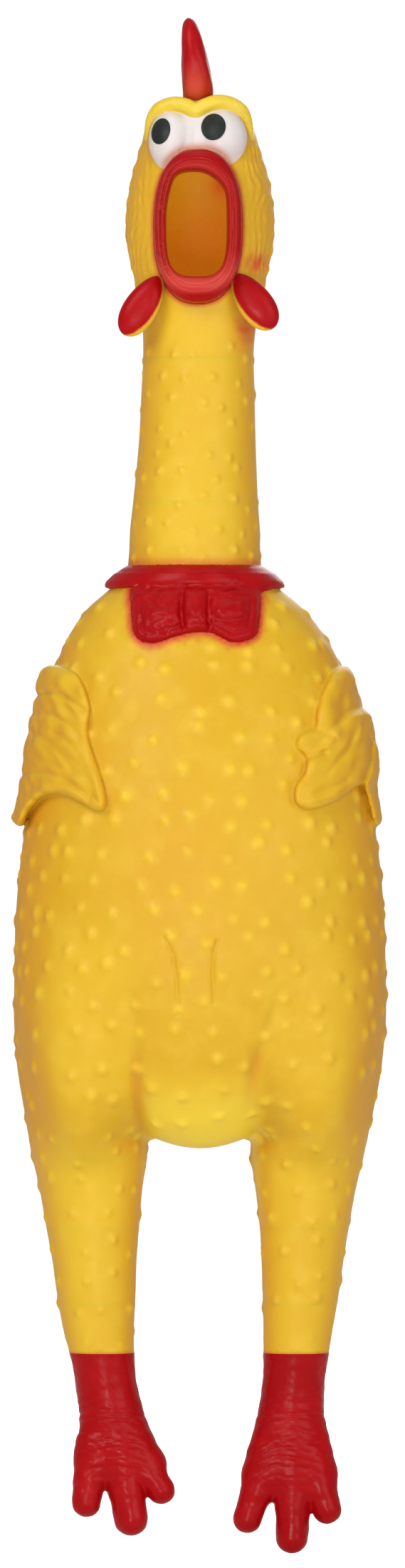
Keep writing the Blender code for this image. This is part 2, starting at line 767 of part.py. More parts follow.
def pivot(name, point, parent, *pieces):
    """An empty on a joint's axis, which carries the pieces that move with it."""
    empty = bpy.data.objects.new(name, None)
    empty.location = [c * MM for c in point]
    bpy.context.scene.collection.objects.link(empty)
    bpy.context.view_layer.update()
    for piece in [empty] * (parent is not None) + [bpy.data.objects[p] for p in pieces]:
        holder = parent if piece is empty else empty
        piece.parent = holder
        piece.matrix_parent_inverse = holder.matrix_world.inverted()
    bpy.context.view_layer.update()
    return empty


def rig():
    """Puts every moving piece under an empty on its joint's axis."""
    pivot("belly_axis", (PANEL_CENTRE[0], 0.0, PANEL_CENTRE[1]), None, "belly_panel")
    base = pivot(
        "neck_bend_axis", middle_of(NECK, NECK_FLEXES["neck_base_flex"]), None,
        "lower_neck", "neck_mid_flex",
    )
    upper = pivot(
        "neck_sway_axis", middle_of(NECK, NECK_FLEXES["neck_mid_flex"]), base,
        "upper_neck", "throat_flex", "squeaker_barrel", "squeaker_cap", "reed_seat",
    )
    reed = bpy.data.objects["reed"].location / MM
    pivot("reed_axis", (reed.x, reed.y, reed.z - REED_LENGTH / 2), upper, "reed")
    skull = pivot(
        "head_nod_axis", middle_of(NECK, NECK_FLEXES["throat_flex"]), upper,
        "head_shell", "beak", "brow_ridge", "left_eye", "right_eye", "left_pupil", "right_pupil",
        "comb_flex",
    )
    pivot("comb_axis", (-0.7, 0.0, COMB_AXIS), skull, "comb")
    for name in WATTLES:
        pivot(f"{name}_axis", wattle_root(name), skull, name)
    for name, side in SIDES.items():
        rows = LEGS[name]
        hip = pivot(
            f"{name}_hip_axis", middle_of(rows, LEG_FLEXES["hip_flex"], side), None,
            f"{name}_thigh", f"{name}_leg_flex",
        )
        knee = pivot(
            f"{name}_leg_axis", middle_of(rows, LEG_FLEXES["leg_flex"], side), hip,
            f"{name}_shank", f"{name}_ankle_flex",
        )
        pivot(f"{name}_ankle_axis", middle_of(rows, LEG_FLEXES["ankle_flex"], side), knee, f"{name}_foot")


def main():
    for obj in list(bpy.data.objects):
        bpy.data.objects.remove(obj)
    torso()
    collar_and_bow()
    wings()
    tail()
    neck()
    squeaker()
    head()
    comb()
    wattles()
    legs()
    rig()


main()
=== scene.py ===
"""Looks of the rubber chicken: one soft vinyl skin, moulded as a distance field and painted red.

The shape is worked out in millimetres, in the same frame as the CAD: the chicken faces -Y and its head
is at +Z. A field gives the distance to the skin's outside. It is meshed slab by slab, split where the
paint changes and where the toy bends, and each patch becomes a closed shell.
"""

import itertools
import math

import bpy
import numpy as np
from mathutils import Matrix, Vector


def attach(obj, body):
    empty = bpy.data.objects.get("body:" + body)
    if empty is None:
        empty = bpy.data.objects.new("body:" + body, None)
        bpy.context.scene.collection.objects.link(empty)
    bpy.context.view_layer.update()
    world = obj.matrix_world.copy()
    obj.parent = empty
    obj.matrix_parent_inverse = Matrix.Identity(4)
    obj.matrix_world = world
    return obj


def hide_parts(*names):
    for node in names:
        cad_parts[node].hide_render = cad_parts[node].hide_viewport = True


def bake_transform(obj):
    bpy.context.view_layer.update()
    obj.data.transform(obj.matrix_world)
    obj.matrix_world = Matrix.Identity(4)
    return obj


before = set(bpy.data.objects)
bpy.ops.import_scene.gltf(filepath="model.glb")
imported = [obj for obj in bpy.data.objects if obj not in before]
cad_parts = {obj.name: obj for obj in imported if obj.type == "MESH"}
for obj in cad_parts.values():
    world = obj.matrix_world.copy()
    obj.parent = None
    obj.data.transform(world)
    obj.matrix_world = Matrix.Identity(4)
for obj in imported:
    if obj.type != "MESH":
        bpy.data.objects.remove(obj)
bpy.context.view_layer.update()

MM = 0.001
WALL = 1.4
# A distance that is surely outside, in millimetres
OUTSIDE = 9.0

# The trunk from the pouch to the crown: height, sideways shift, half width, front and back
TRUNK = (
    (-59.3, 0.0, 0.0, 12.0, -6.0), (-56.5, 0.0, 12.6, 19.0, 6.0), (-51.0, 0.0, 23.5, 25.6, 15.0),
    (-42.0, 0.0, 37.0, 31.4, 23.4), (-30.0, 0.0, 45.0, 35.6, 28.4), (-14.0, 0.0, 48.0, 38.0, 30.2),
    (9.0, 0.0, 47.3, 37.4, 30.0), (35.0, 0.0, 43.8, 34.6, 28.8), (53.0, 0.0, 40.6, 30.8, 27.0),
    (69.0, -0.6, 35.8, 26.0, 24.8), (80.0, -1.2, 28.8, 21.8, 22.4), (86.0, -1.4, 22.0, 19.0, 19.8),
    (90.0, -1.4, 18.0, 17.6, 17.8), (94.0, -1.4, 17.1, 17.1, 17.1), (101.5, -1.3, 16.8, 16.8, 16.8),
    (110.8, -1.1, 16.0, 16.0, 16.0), (124.6, -0.7, 15.1, 15.1, 15.1), (138.5, -0.5, 14.6, 14.6, 14.6),
    (148.0, -0.4, 14.3, 14.3, 14.3), (157.0, -0.1, 15.0, 14.7, 15.0), (166.0, 0.0, 16.8, 16.0, 16.6),
    (175.0, 0.0, 18.7, 17.0, 18.0), (181.0, 0.0, 19.2, 17.5, 18.5), (190.0, 0.0, 18.3, 17.4, 18.4),
    (199.0, 0.0, 16.0, 16.4, 17.0), (206.0, 0.0, 13.8, 14.6, 15.0), (211.0, 0.0, 10.8, 11.6, 12.0),
    (214.4, 0.0, 0.0, 0.0, 0.0),
)

# Each leg with its instep: height, distance from the middle, half width, half depth, forward shift
HIP = ((4.0, 30.0, 0.0, 0.0, 0.0), (0.0, 30.0, 12.0, 12.0, 0.0), (-23.0, 31.4, 16.4, 16.4, 0.0))
LEGS = {
    "left": (
        *HIP,
        (-37.0, 30.8, 16.5, 16.5, 0.0), (-51.0, 29.4, 15.4, 15.4, 0.0), (-60.6, 28.0, 14.8, 14.8, 0.0),
        (-69.8, 27.5, 13.1, 13.1, 0.0), (-79.1, 27.2, 11.7, 11.7, 0.0), (-88.3, 26.7, 10.7, 10.7, 0.0),
        (-97.6, 26.2, 9.9, 9.9, 0.0), (-106.8, 25.5, 9.0, 9.0, 0.0), (-113.1, 25.0, 8.5, 8.5, 0.0),
        (-121.0, 24.3, 8.1, 7.6, 0.3), (-130.0, 23.6, 9.0, 7.2, 1.0), (-139.0, 23.5, 11.1, 6.6, 2.2),
        (-146.0, 23.2, 12.3, 5.0, 3.4), (-152.0, 23.2, 0.0, 0.0, 4.0),
    ),
    "right": (
        *HIP,
        (-37.0, 31.0, 16.6, 16.6, 0.0), (-51.0, 29.9, 15.6, 15.6, 0.0), (-60.6, 28.8, 15.1, 15.1, 0.0),
        (-69.8, 28.4, 13.4, 13.4, 0.0), (-79.1, 28.0, 12.2, 12.2, 0.0), (-88.3, 27.5, 11.0, 11.0, 0.0),
        (-97.6, 27.0, 10.2, 10.2, 0.0), (-106.8, 26.4, 9.2, 9.2, 0.0), (-113.1, 25.5, 8.4, 8.4, 0.0),
        (-121.0, 24.4, 8.0, 7.7, 0.3), (-129.0, 22.9, 8.6, 7.2, 1.0), (-136.0, 21.4, 10.0, 6.6, 2.0),
        (-142.0, 20.4, 11.7, 5.2, 3.2), (-149.0, 20.0, 0.0, 0.0, 4.0),
    ),
}

# Each toe's tip: distance from the middle, height, radius, forward shift; then its root's distance
TOES = {
    "left": (
        (33.0, -153.4, 3.8, 4.6, 28.6), (23.9, -160.6, 4.2, 5.4, 24.2), (12.3, -155.8, 3.7, 4.6, 17.8),
    ),
    "right": (
        (29.6, -151.6, 3.8, 4.6, 27.2), (17.9, -155.8, 4.4, 5.4, 20.8), (10.2, -148.4, 3.7, 4.6, 17.6),
    ),
}
TOE_ROOTS = {"left": -140.0, "right": -137.0}
SIDES = {"left": 1, "right": -1}

# Where the skin is divided, and between which heights each length bends
NECK_SEAMS = (92.3, 108.5, 146.0)
NECK_BENDS = ((92.0, 108.0), (109.0, 124.0), (146.5, 159.0))
LEG_SEAMS = (-62.0, -80.4, -100.0, -112.8)
LEG_BENDS = ((-61.5, -77.0), (-84.0, -96.0), (-103.5, -112.6))
COMB_BEND = (215.0, 219.0)
BELLY_BEND = (-20.0, -38.0)

# The collar's lower and upper edge
COLLAR_LOW = 86.2
COLLAR_TOP = 92.2

# The bow tie's outline on the front, as (x, z)
BOW = (
    (-17.4, 86.5), (-10.0, 87.6), (-4.0, 87.4), (3.0, 87.4), (10.0, 87.6), (15.2, 86.5), (15.3, 78.0),
    (14.0, 73.4), (8.4, 72.0), (3.0, 74.4), (-1.4, 74.6), (-6.5, 73.4), (-12.0, 71.8), (-16.4, 73.2),
    (-17.6, 78.5),
)

# The swellings of its two loops and its knot: centre (x, z), half sizes and a power for their height
BOW_SWELLINGS = (
    ((-10.2, 79.4), (4.4, 3.6), 2), ((8.2, 80.4), (4.2, 3.4), 2), ((-1.2, 80.6), (2.8, 5.0), 4),
)

# Creases pressed into the front: each is an (x, z) line, its width and its depth
BOW_CREASES = (
    (((-4.6, 85.0), (-4.9, 80.0), (-4.2, 75.6)), 0.7, 0.9),
    (((2.4, 85.0), (2.2, 80.0), (2.6, 75.6)), 0.7, 0.9),
    (((-13.6, 83.4), (-10.6, 81.0), (-6.6, 81.8)), 0.7, 0.45),
    (((-13.0, 77.4), (-9.4, 78.6), (-6.0, 77.4)), 0.6, 0.35),
    (((-8.6, 74.4), (-6.2, 75.8), (-4.6, 77.4)), 0.6, 0.45),
    (((3.6, 78.2), (7.4, 77.4), (11.4, 78.2)), 0.7, 0.55),
    (((4.2, 84.0), (8.0, 83.4), (12.4, 84.0)), 0.6, 0.35),
    (((-3.6, 78.6), (-1.2, 78.0), (1.2, 78.8)), 0.6, 0.4),
    (((-16.0, 85.6), (-6.0, 86.2), (5.0, 86.2), (14.0, 85.6)), 0.7, 0.45),
)

# Outlines of the folded wings, as (x, z), and how far they stand out
LEFT_WING = (
    (35.0, 64.8), (40.0, 66.6), (46.0, 63.0), (52.0, 50.0), (56.0, 36.0), (54.0, 28.0), (46.0, 24.2),
    (43.6, 30.0), (41.6, 35.0), (35.4, 31.0), (28.6, 28.8), (24.9, 30.2), (24.6, 34.4),
    (27.2, 38.6), (27.0, 42.4), (24.7, 45.4), (25.8, 48.2), (29.6, 50.0), (30.2, 55.0), (32.4, 61.0),
)
RIGHT_WING = (
    (-33.4, 64.8), (-40.0, 66.2), (-45.4, 63.0), (-50.0, 52.0), (-55.0, 36.0), (-54.0, 28.0),
    (-46.8, 24.2), (-44.0, 28.6), (-40.6, 32.0), (-36.4, 32.6), (-32.0, 31.0), (-26.2, 28.2),
    (-24.0, 30.2), (-25.4, 37.0), (-28.8, 47.6), (-28.4, 55.0), (-30.4, 61.4),
)
WING_PROUD = {"left_wing": 3.1, "right_wing": 3.3}

# The middles of the left wing's two swellings: its lowest feather and its shoulder
LEAF_SPINE = np.array(((43.0, 46.0), (38.0, 40.0), (30.0, 33.0)))
SHOULDER_SPINE = np.array(((36.2, 61.6), (34.6, 56.0), (33.4, 50.0)))

# The grooves between the feathers
WING_CREASES = {
    "left_wing": (
        (((26.6, 41.0), (29.0, 42.6), (32.0, 43.4)), 0.9, 1.0),
        (((41.8, 34.8), (43.4, 38.6), (44.4, 43.0), (44.4, 47.0)), 0.7, 0.9),
        (((36.6, 63.0), (37.4, 56.0), (36.4, 50.0)), 1.3, 0.5),
        (((29.0, 50.0), (32.0, 48.6), (35.0, 47.6)), 0.8, 0.35),
        (((41.0, 50.0), (38.0, 44.0), (33.0, 38.0)), 0.9, 0.35),
        (((38.0, 36.4), (34.0, 34.0), (30.0, 32.6)), 0.8, 0.25),
    ),
    "right_wing": (
        (((-43.0, 58.4), (-38.5, 58.8), (-34.0, 57.2), (-30.2, 54.4)), 0.8, 0.8),
        (((-44.0, 53.6), (-39.0, 53.4), (-34.5, 51.0), (-31.4, 47.6)), 0.8, 0.35),
        (((-44.5, 48.8), (-40.0, 47.0), (-36.0, 43.0), (-33.0, 38.6)), 0.9, 0.3),
        (((-38.0, 48.8), (-34.4, 46.4), (-31.2, 42.4)), 0.8, 0.25),
        (((-46.6, 37.6), (-41.0, 38.4), (-35.5, 36.6), (-28.6, 31.6)), 0.8, 0.6),
    ),
}

# The keel's two lines on the belly, and the sides of the pouch between the legs
KEEL = (
    (((-9.1, -4.4), (-6.9, -9.4), (-5.8, -18.8), (-5.7, -24.2)), 0.55, 0.55),
    (((4.6, -4.8), (3.4, -10.0), (3.3, -20.8)), 0.55, 0.55),
)
POUCH = (
    (((-17.8, -18.8), (-17.0, -24.2), (-16.5, -37.8), (-15.7, -49.0), (-13.7, -54.4)), 1.9, 0.8),
    (((20.6, -17.6), (18.5, -25.6), (13.9, -39.0), (13.1, -54.4)), 1.9, 0.8),
)

# The lips and the hole in them: centre (x, z), half sizes and how square they are
BEAK = ((-0.5, 179.8), (11.4, 19.9), 2.4)
MOUTH = ((-0.9, 180.4), (7.8, 13.5), 3.4)
BEAK_FRONT = -25.6
BEAK_THICK = 3.6

# Each eye: centre (x, z) and half sizes. Each pupil leans by so many degrees as well
EYE_CENTRE_Y = -9.6
EYES = {"right_eye": ((-7.4, 202.3), (5.9, 8.1)), "left_eye": ((5.2, 203.1), (7.0, 7.8))}
EYE_SEAM = -1.6
PUPIL_PAINT = 0.12
PUPILS = {
    "right_pupil": ((-10.1, 204.5), (2.35, 3.45), 14.0),
    "left_pupil": ((3.5, 205.6), (3.15, 3.5), 10.0),
}

# The ridge over the eyes, as a line through (x, y, z)
BROW = (
    (-13.2, -6.4, 203.6), (-12.6, -8.2, 207.5), (-10.6, -10.4, 210.4), (-6.9, -11.9, 211.8),
    (-3.6, -12.8, 211.3), (-1.2, -13.2, 210.2), (1.3, -13.0, 211.3), (4.5, -12.4, 212.3),
    (8.0, -11.0, 211.8), (10.7, -9.3, 210.0), (12.1, -7.6, 207.0), (12.6, -6.0, 203.2),
)
BROW_RADIUS = 1.95

# The comb's outline from the side, as (y, z)
COMB = (
    (-2.0, 207.0), (-6.4, 211.6), (-11.0, 215.6), (-13.0, 224.0), (-12.2, 231.5), (-8.6, 234.8),
    (-5.0, 232.0), (-3.4, 228.6), (-1.2, 230.4), (2.0, 231.2), (4.8, 228.8), (5.8, 225.4), (7.6, 226.2),
    (10.4, 225.8), (12.6, 222.8), (13.6, 219.6), (15.4, 219.2), (17.4, 217.2), (17.6, 212.6),
    (14.0, 205.0),
)
COMB_FOOT = 215.0
COMB_TOP = 233.5

# Each wattle: centre, half sizes and lean in degrees
WATTLES = {
    "left_wattle": ((14.0, -14.9, 160.4), (4.5, 2.9, 8.6), -36.0),
    "right_wattle": ((-15.0, -14.9, 159.3), (4.4, 2.9, 8.9), 32.0),
}

# Pimples: spacing, height, spread and the share of places that have one
TRUNK_PIMPLES = (9.0, 0.74, 1.05, 0.97)
NECK_PIMPLES = (7.6, 0.55, 0.75, 0.95)
LEG_PIMPLES = (9.0, 0.62, 0.85, 0.92)


# ---------------------------------------------------------------- curves, charts and distances

def through(stations, values, at):
    """A smooth curve through values at stations, read at other places."""
    slopes = np.gradient(values, stations, axis=0)
    slopes[1:-1] = (values[2:] - values[:-2]) / (stations[2:] - stations[:-2])[:, None]
    i = np.clip(np.searchsorted(stations, at) - 1, 0, len(stations) - 2)
    step = (stations[i + 1] - stations[i])[:, None]
    t = np.clip((at - stations[i])[:, None] / step, 0, 1)
    return (
        values[i] * (2 * t**3 - 3 * t**2 + 1) + slopes[i] * step * (t**3 - 2 * t**2 + t)
        + values[i + 1] * (3 * t**2 - 2 * t**3) + slopes[i + 1] * step * (t**3 - t**2)
    )


class Column:
    """A shape lofted through rows (height, x, y, half width, half depth). A call gives the distance."""

    STEP = 0.2

    def __init__(self, rows):
        rows = np.array(sorted(rows), float)
        rows[:, 3:] **= 2
        self.z = np.arange(rows[0, 0], rows[-1, 0] + self.STEP, self.STEP)
        values = through(rows[:, 0], rows[:, 1:], self.z)
        values[:, 2:] = np.maximum(values[:, 2:], 0.2)
        self.table = np.hstack([values, np.gradient(values, self.STEP, axis=0)])

    def at(self, z):
        return [np.interp(z, self.z, column) for column in self.table.T]

    def __call__(self, p):
        cx, cy, a, b, dcx, dcy, da, db = self.at(p[:, 2])
        x, y = p[:, 0] - cx, p[:, 1] - cy
        level = x * x / a + y * y / b
        lean = x * x * da / a**2 + y * y * db / b**2 + 2 * x * dcx / a + 2 * y * dcy / b
        flat = 2 * np.hypot(x / a, y / b) + 1e-9
        steep = np.hypot(flat, np.clip(lean, -2 * flat, 2 * flat))
        rho = np.sqrt(level)
        side = (rho - 1) * 2 * np.maximum(rho, 0.05) / steep
        return np.maximum(side, np.maximum(self.z[0] - p[:, 2], p[:, 2] - self.z[-1]))


class Chart:
    """A function of two coordinates, read from a fine table that is made once."""

    STEP = 0.3

    def __init__(self, low, high, function):
        self.low = np.array(low, float)
        sizes = [int(math.ceil((b - a) / self.STEP)) + 1 for a, b in zip(low, high)]
        u, v = np.meshgrid(*[a + self.STEP * np.arange(n) for a, n in zip(low, sizes)], indexing="ij")
        self.values = function(u, v)

    def __call__(self, u, v):
        place = (np.stack([u, v]) - self.low[:, None]) / self.STEP
        limit = np.array(self.values.shape)[:, None] - 1.001
        place = np.clip(place, 0, limit)
        i, j = place.astype(int)
        s, t = place - (i, j)
        w = self.values
        near = w[i, j] * (1 - t) + w[i, j + 1] * t
        far = w[i + 1, j] * (1 - t) + w[i + 1, j + 1] * t
        return near * (1 - s) + far * s


def rounded(points, steps=6):
    """A closed smooth curve through points."""
    p = np.array(points, float)
    before, after, later = np.roll(p, 1, 0), np.roll(p, -1, 0), np.roll(p, -2, 0)
    made = []
    for t in np.arange(steps) / steps:
        made.append(0.5 * (
            2 * p + (after - before) * t + (2 * before - 5 * p + 4 * after - later) * t**2
            + (3 * p - before - 3 * after + later) * t**3
        ))
    return np.stack(made, 1).reshape(-1, 2)


def line_distance(u, v, points, closed=False):
    """Distance to a line through points. A closed one is negative inside."""
    ends = np.roll(points, -1, 0) if closed else points[1:]
    best = np.full(u.shape, 1e9)
    inside = np.zeros(u.shape, bool)
    for (ax, ay), (bx, by) in zip(points, ends):
        ex, ey = bx - ax, by - ay
        t = np.clip(((u - ax) * ex + (v - ay) * ey) / (ex * ex + ey * ey + 1e-12), 0, 1)
        best = np.minimum(best, (u - ax - t * ex) ** 2 + (v - ay - t * ey) ** 2)
        if closed and by != ay:
            inside ^= ((ay > v) != (by > v)) & (u < ax + (v - ay) * ex / (by - ay))
    return np.where(inside, -1.0, 1.0) * np.sqrt(best)


def outline_chart(points, margin=12.0):
    """Distance to a closed smooth outline through points, negative inside."""
    outline = rounded(points)
    low, high = outline.min(0) - margin, outline.max(0) + margin
    return Chart(low, high, lambda u, v: line_distance(u, v, outline, closed=True))


def crease_chart(creases, margin=6.0):
    """Depth pressed in along lines. Each crease is a line, its width and its depth."""
    every = np.vstack([np.array(line) for line, _, _ in creases])

    def pressed(u, v):
        total = np.zeros(u.shape)
        for line, width, depth in creases:
            line = np.array(line)
            curve = through(np.arange(len(line)), line, np.linspace(0, len(line) - 1, 40))
            total = np.maximum(total, depth * peak(line_distance(u, v, curve), width))
        return total

    return Chart(every.min(0) - margin, every.max(0) + margin, pressed)


def join(a, b, soft):
    """Union of two distances with a fillet."""
    h = np.maximum(soft - np.abs(a - b), 0) / soft
    return np.minimum(a, b) - h * h * soft / 4


def cross(a, b, soft):
    """Intersection of two distances with a rounded edge."""
    return -join(-a, -b, soft)


def fade(value, start, end):
    """0 at the start, 1 at the end and smooth between them."""
    t = np.clip((value - start) / (end - start), 0, 1)
    return t * t * (3 - 2 * t)


def ellipsoid(p, centre, radii):
    local = p - centre
    k0 = np.linalg.norm(local / radii, axis=1)
    k1 = np.linalg.norm(local / np.square(radii), axis=1) + 1e-9
    return k0 * (k0 - 1) / k1


def turned(u, v, lean):
    """Two coordinates turned by this many degrees."""
    c, s = math.cos(math.radians(lean)), math.sin(math.radians(lean))
    return u * c - v * s, u * s + v * c


def oval(u, v, centre, half, lean=0.0):
    """Distance to an oval on the front, which leans by this many degrees."""
    x, z = turned(u - centre[0], v - centre[1], lean)
    k0 = np.hypot(x / half[0], z / half[1])
    k1 = np.hypot(x / half[0] ** 2, z / half[1] ** 2) + 1e-9
    return k0 * (k0 - 1) / k1


def slot(u, v, centre, half, power):
    """Distance to a rounded slot: an oval whose sides run straighter the higher the power."""
    x, z = np.abs(u - centre[0]) / half[0], np.abs(v - centre[1]) / half[1]
    level = (x**power + z**power) ** (1 / power) + 1e-9
    steep = np.hypot((x / level) ** (power - 1) / half[0], (z / level) ** (power - 1) / half[1])
    return (level - 1) / np.maximum(steep, 1e-3)


def rod(p, a, b, ra, rb):
    """Distance to a rod with round ends, whose radius runs from ra to rb."""
    a, b = np.array(a), np.array(b)
    t = np.clip((p - a) @ (b - a) / ((b - a) @ (b - a)), 0, 1)
    return np.linalg.norm(p - a - t[:, None] * (b - a), axis=1) - ra - (rb - ra) * t


def peak(value, width):
    """1 where a value is zero, and fading out on both sides over this width."""
    return np.exp(-((value / width) ** 2))


def blot(p, centre, size):
    """A soft patch on the front: 1 at its centre (x, z), with these half sizes."""
    return np.exp(-(((p[:, 0] - centre[0]) / size[0]) ** 2 + ((p[:, 2] - centre[1]) / size[1]) ** 2))


def wave_noise(p, size, seed):
    """A smooth irregular value from about -1 to 1, with features of this size."""
    rng = np.random.RandomState(seed)
    total = np.zeros(len(p))
    for _ in range(5):
        way = rng.normal(size=3)
        way *= 2 * math.pi / (size * (0.7 + 0.8 * rng.rand())) / np.linalg.norm(way)
        total += np.sin(p @ way + rng.rand() * 2 * math.pi)
    return total / 3


# ---------------------------------------------------------------- the skin's shape

trunk = Column([
    (z, x, (back - front) / 2, half, (front + back) / 2) for z, x, half, front, back in TRUNK
])
legs = {
    name: Column([(z, SIDES[name] * x, -ahead, rx, ry) for z, x, rx, ry, ahead in rows])
    for name, rows in LEGS.items()
}


class Pimples:
    """Small bumps scattered evenly over columns, none of them in a clear line with its neighbours.
    Space is divided into cells, and each cell keeps its two nearest pimples."""

    CELL = 3.0
    MARGIN = 6.0

    def __init__(self, fields):
        rng = np.random.RandomState(7)
        made = []
        for column, low, high, spacing, height, spread, keep in fields:
            for row, z in enumerate(np.arange(low, high, spacing * 0.86)):
                cx, cy, a, b = column.at(z)[:4]
                count = max(4, int(round(2 * math.pi * math.sqrt((a + b) / 2) / spacing)))
                for k in range(count):
                    angle = 2 * math.pi * (k + 0.5 * (row % 2) + rng.uniform(-0.27, 0.27)) / count
                    level = z + rng.uniform(-0.3, 0.3) * spacing
                    cx, cy, a, b = column.at(level)[:4]
                    size = rng.uniform(0.7, 1.15)
                    if rng.rand() < keep:
                        x, y = cx + math.sqrt(a) * math.cos(angle), cy + math.sqrt(b) * math.sin(angle)
                        made.append((x, y, level, height * size, spread * math.sqrt(size)))
        self.made = np.array(made)
        self.made[:, :3] = settle(body, self.made[:, :3], rounds=4, most=6.0)
        self.low = self.made[:, :3].min(0) - self.MARGIN
        shape = np.ceil((self.made[:, :3].max(0) + self.MARGIN - self.low) / self.CELL).astype(int)
        places = np.stack(np.meshgrid(*map(np.arange, shape), indexing="ij"), -1).reshape(-1, 3)
        places = self.low + (places + 0.5) * self.CELL
        nearest = [
            ((chunk[:, None] - self.made[None, :, :3]) ** 2).sum(2).argpartition(1, 1)[:, :2]
            for chunk in np.array_split(places, len(places) // 2000 + 1)
        ]
        self.nearest = np.concatenate(nearest).reshape(*shape, 2)

    def __call__(self, p):
        cell = np.floor((p - self.low) / self.CELL).astype(int)
        cell = np.clip(cell, 0, np.array(self.nearest.shape[:3]) - 1)
        x, y, z, height, spread = np.moveaxis(self.made[self.nearest[tuple(cell.T)]], 2, 0)
        away = (p[:, 0, None] - x) ** 2 + (p[:, 1, None] - y) ** 2 + (p[:, 2, None] - z) ** 2
        return (height * np.exp(-away / (2 * spread**2))).max(1)


bow_outline = outline_chart(BOW)
bow_creases = crease_chart(BOW_CREASES)
wing_outlines = {"left_wing": outline_chart(LEFT_WING), "right_wing": outline_chart(RIGHT_WING)}
comb_outline = outline_chart(COMB)
keel = crease_chart(KEEL)
pouch = crease_chart(POUCH)
wing_creases = {name: crease_chart(creases) for name, creases in WING_CREASES.items()}


def body(p):
    """The smooth body, legs and feet without any relief. Its inside follows this shape too."""
    d = trunk(p)
    if p[:, 2].min() > 30:
        return d
    for name, side in SIDES.items():
        d = join(d, legs[name](p), 4.0)
        d = join(d, ellipsoid(p, (side * 30.0, -11.0, -29.0), (14.5, 18.5, 33.0)), 7.0)
    return d


def toes(p, d):
    """Joins three toes to each foot. Each is bent a little and thicker at its root."""
    for name, side in SIDES.items():
        for x, z, radius, ahead, root in TOES[name]:
            start, tip = (side * root, -2.6, TOE_ROOTS[name]), (side * x, -ahead, z)
            middle = [(a + 1.4 * b) / 2.4 for a, b in zip(start, tip)]
            d = join(d, rod(p, start, middle, radius + 1.6, radius + 0.3), 1.6)
            d = join(d, rod(p, middle, tip, radius + 0.3, radius), 1.2)
    return d


def foot_wrinkles(p):
    """Curved folds over the instep, which the toes' roots bend downwards."""
    x, z = p[:, 0], p[:, 2]
    side = np.where(x > 0, 1.0, -1.0)
    middle = np.interp(z, (-150.0, -121.0), (21.8, 24.4))
    sag = ((x * side - middle) / 9.0) ** 2
    phase = (z + 2.0 * sag + 0.5 * wave_noise(p, 9.0, 3)) / 2.45
    fold = (0.5 + 0.5 * np.cos(2 * math.pi * phase)) ** 3
    strength = fade(z, -121.0, -131.0) * fade(z, -149.0, -141.0) * fade(p[:, 1], 4.0, -2.0)
    strength = strength * fade(sag, 1.3, 0.5)
    single = peak(z + 128.4 + 0.8 * sag, 0.5) * fade(p[:, 1], 2.0, -3.0)
    return (0.17 + 0.10 * wave_noise(p, 6.0, 5)) * fold * strength + 0.22 * single


def foot_grain(p):
    """Fine unevenness all over the feet."""
    return 0.03 * wave_noise(p, 2.2, 8) + 0.10 * wave_noise(p, 5.0, 9)


def tail(p):
    """A short pointed tail with ridges down its lower half."""
    d = ellipsoid(p, (0.0, 25.5, -36.0), (8.6, 9.0, 17.0))
    ridges = 0.45 * np.cos(p[:, 0] * 2 * math.pi / 3.6) * fade(p[:, 2], -20.0, -32.0)
    return d - ridges


def wing(name, p):
    """A folded wing: a raised pad with feathers, running round the side of the body."""
    x, y, z = p.T
    edge = wing_outlines[name](x, z)
    back = y - 11.0 + 13.0 * ((z - 46.0) / 22.0) ** 2
    edge = cross(edge, back, 4.0)
    proud = WING_PROUD[name] + 0.26 * wave_noise(p, 7.5, 21) + 0.16 * wave_noise(p, 4.0, 22)
    if name == "right_wing":
        proud += 0.7 * peak(edge + 1.7, 1.3) * fade(z, 42.0, 36.0)
        proud += 0.5 * peak(z - 61.4 + 0.12 * (x + 38), 2.6)
    else:
        proud += 1.5 * fade(line_distance(x, z, LEAF_SPINE), 9.5, 7.0) - 0.9
        proud += peak(line_distance(x, z, SHOULDER_SPINE), 3.2)
    proud -= wing_creases[name](x, z)
    return cross(trunk(p) - proud, edge, 2.6)


def collar(p):
    """A thin band whose lower edge flares over the shoulders."""
    z = p[:, 2]
    proud = np.interp(z, (86.0, 87.0, 88.0, 90.0, 91.2, COLLAR_TOP), (1.0, 1.6, 2.1, 2.4, 1.6, 0.4))
    lip = COLLAR_LOW + 0.5 * fade(np.abs(p[:, 0] + 1.4), 20.0, 12.0)
    lip -= 1.3 * peak(p[:, 0] - 15.6, 2.6) * fade(p[:, 1], 0.0, -6.0)
    return cross(trunk(p) - proud, np.maximum(z - COLLAR_TOP, lip - z), 0.9)


def bow(p):
    """A bow tie: two creased loops and a knot."""
    x, z = p[:, 0], p[:, 2]
    edge = bow_outline(x, z)
    proud = np.full(len(p), 2.0)
    for (cx, cz), (wide, high), power in BOW_SWELLINGS:
        proud += 1.3 * np.exp(-(((x - cx) / wide) ** 4 + ((z - cz) / high) ** power))
    proud -= 0.5 * peak(edge + 2.5, 0.6) * fade(z, 84.6, 82.6)
    proud += 0.2 * wave_noise(p, 3.4, 12) - bow_creases(x, z)
    return cross(trunk(p) - proud, np.maximum(edge, p[:, 1] + 6.0), 2.6)


def mouth_hole(x, z):
    """Distance to the hole in the lips, whose upper corners are drawn in."""
    right = 0.24 * (z - 194.1) - 0.97 * (x + 6.5)
    left = 0.79 * (z - 194.1) + 0.61 * (x - 1.2)
    return cross(cross(slot(x, z, *MOUTH), right, 0.8), left, 1.6)


def beak_band(x, z):
    """Distances to the ring's outer and inner outlines."""
    return slot(x, z, *BEAK), mouth_hole(x, z)


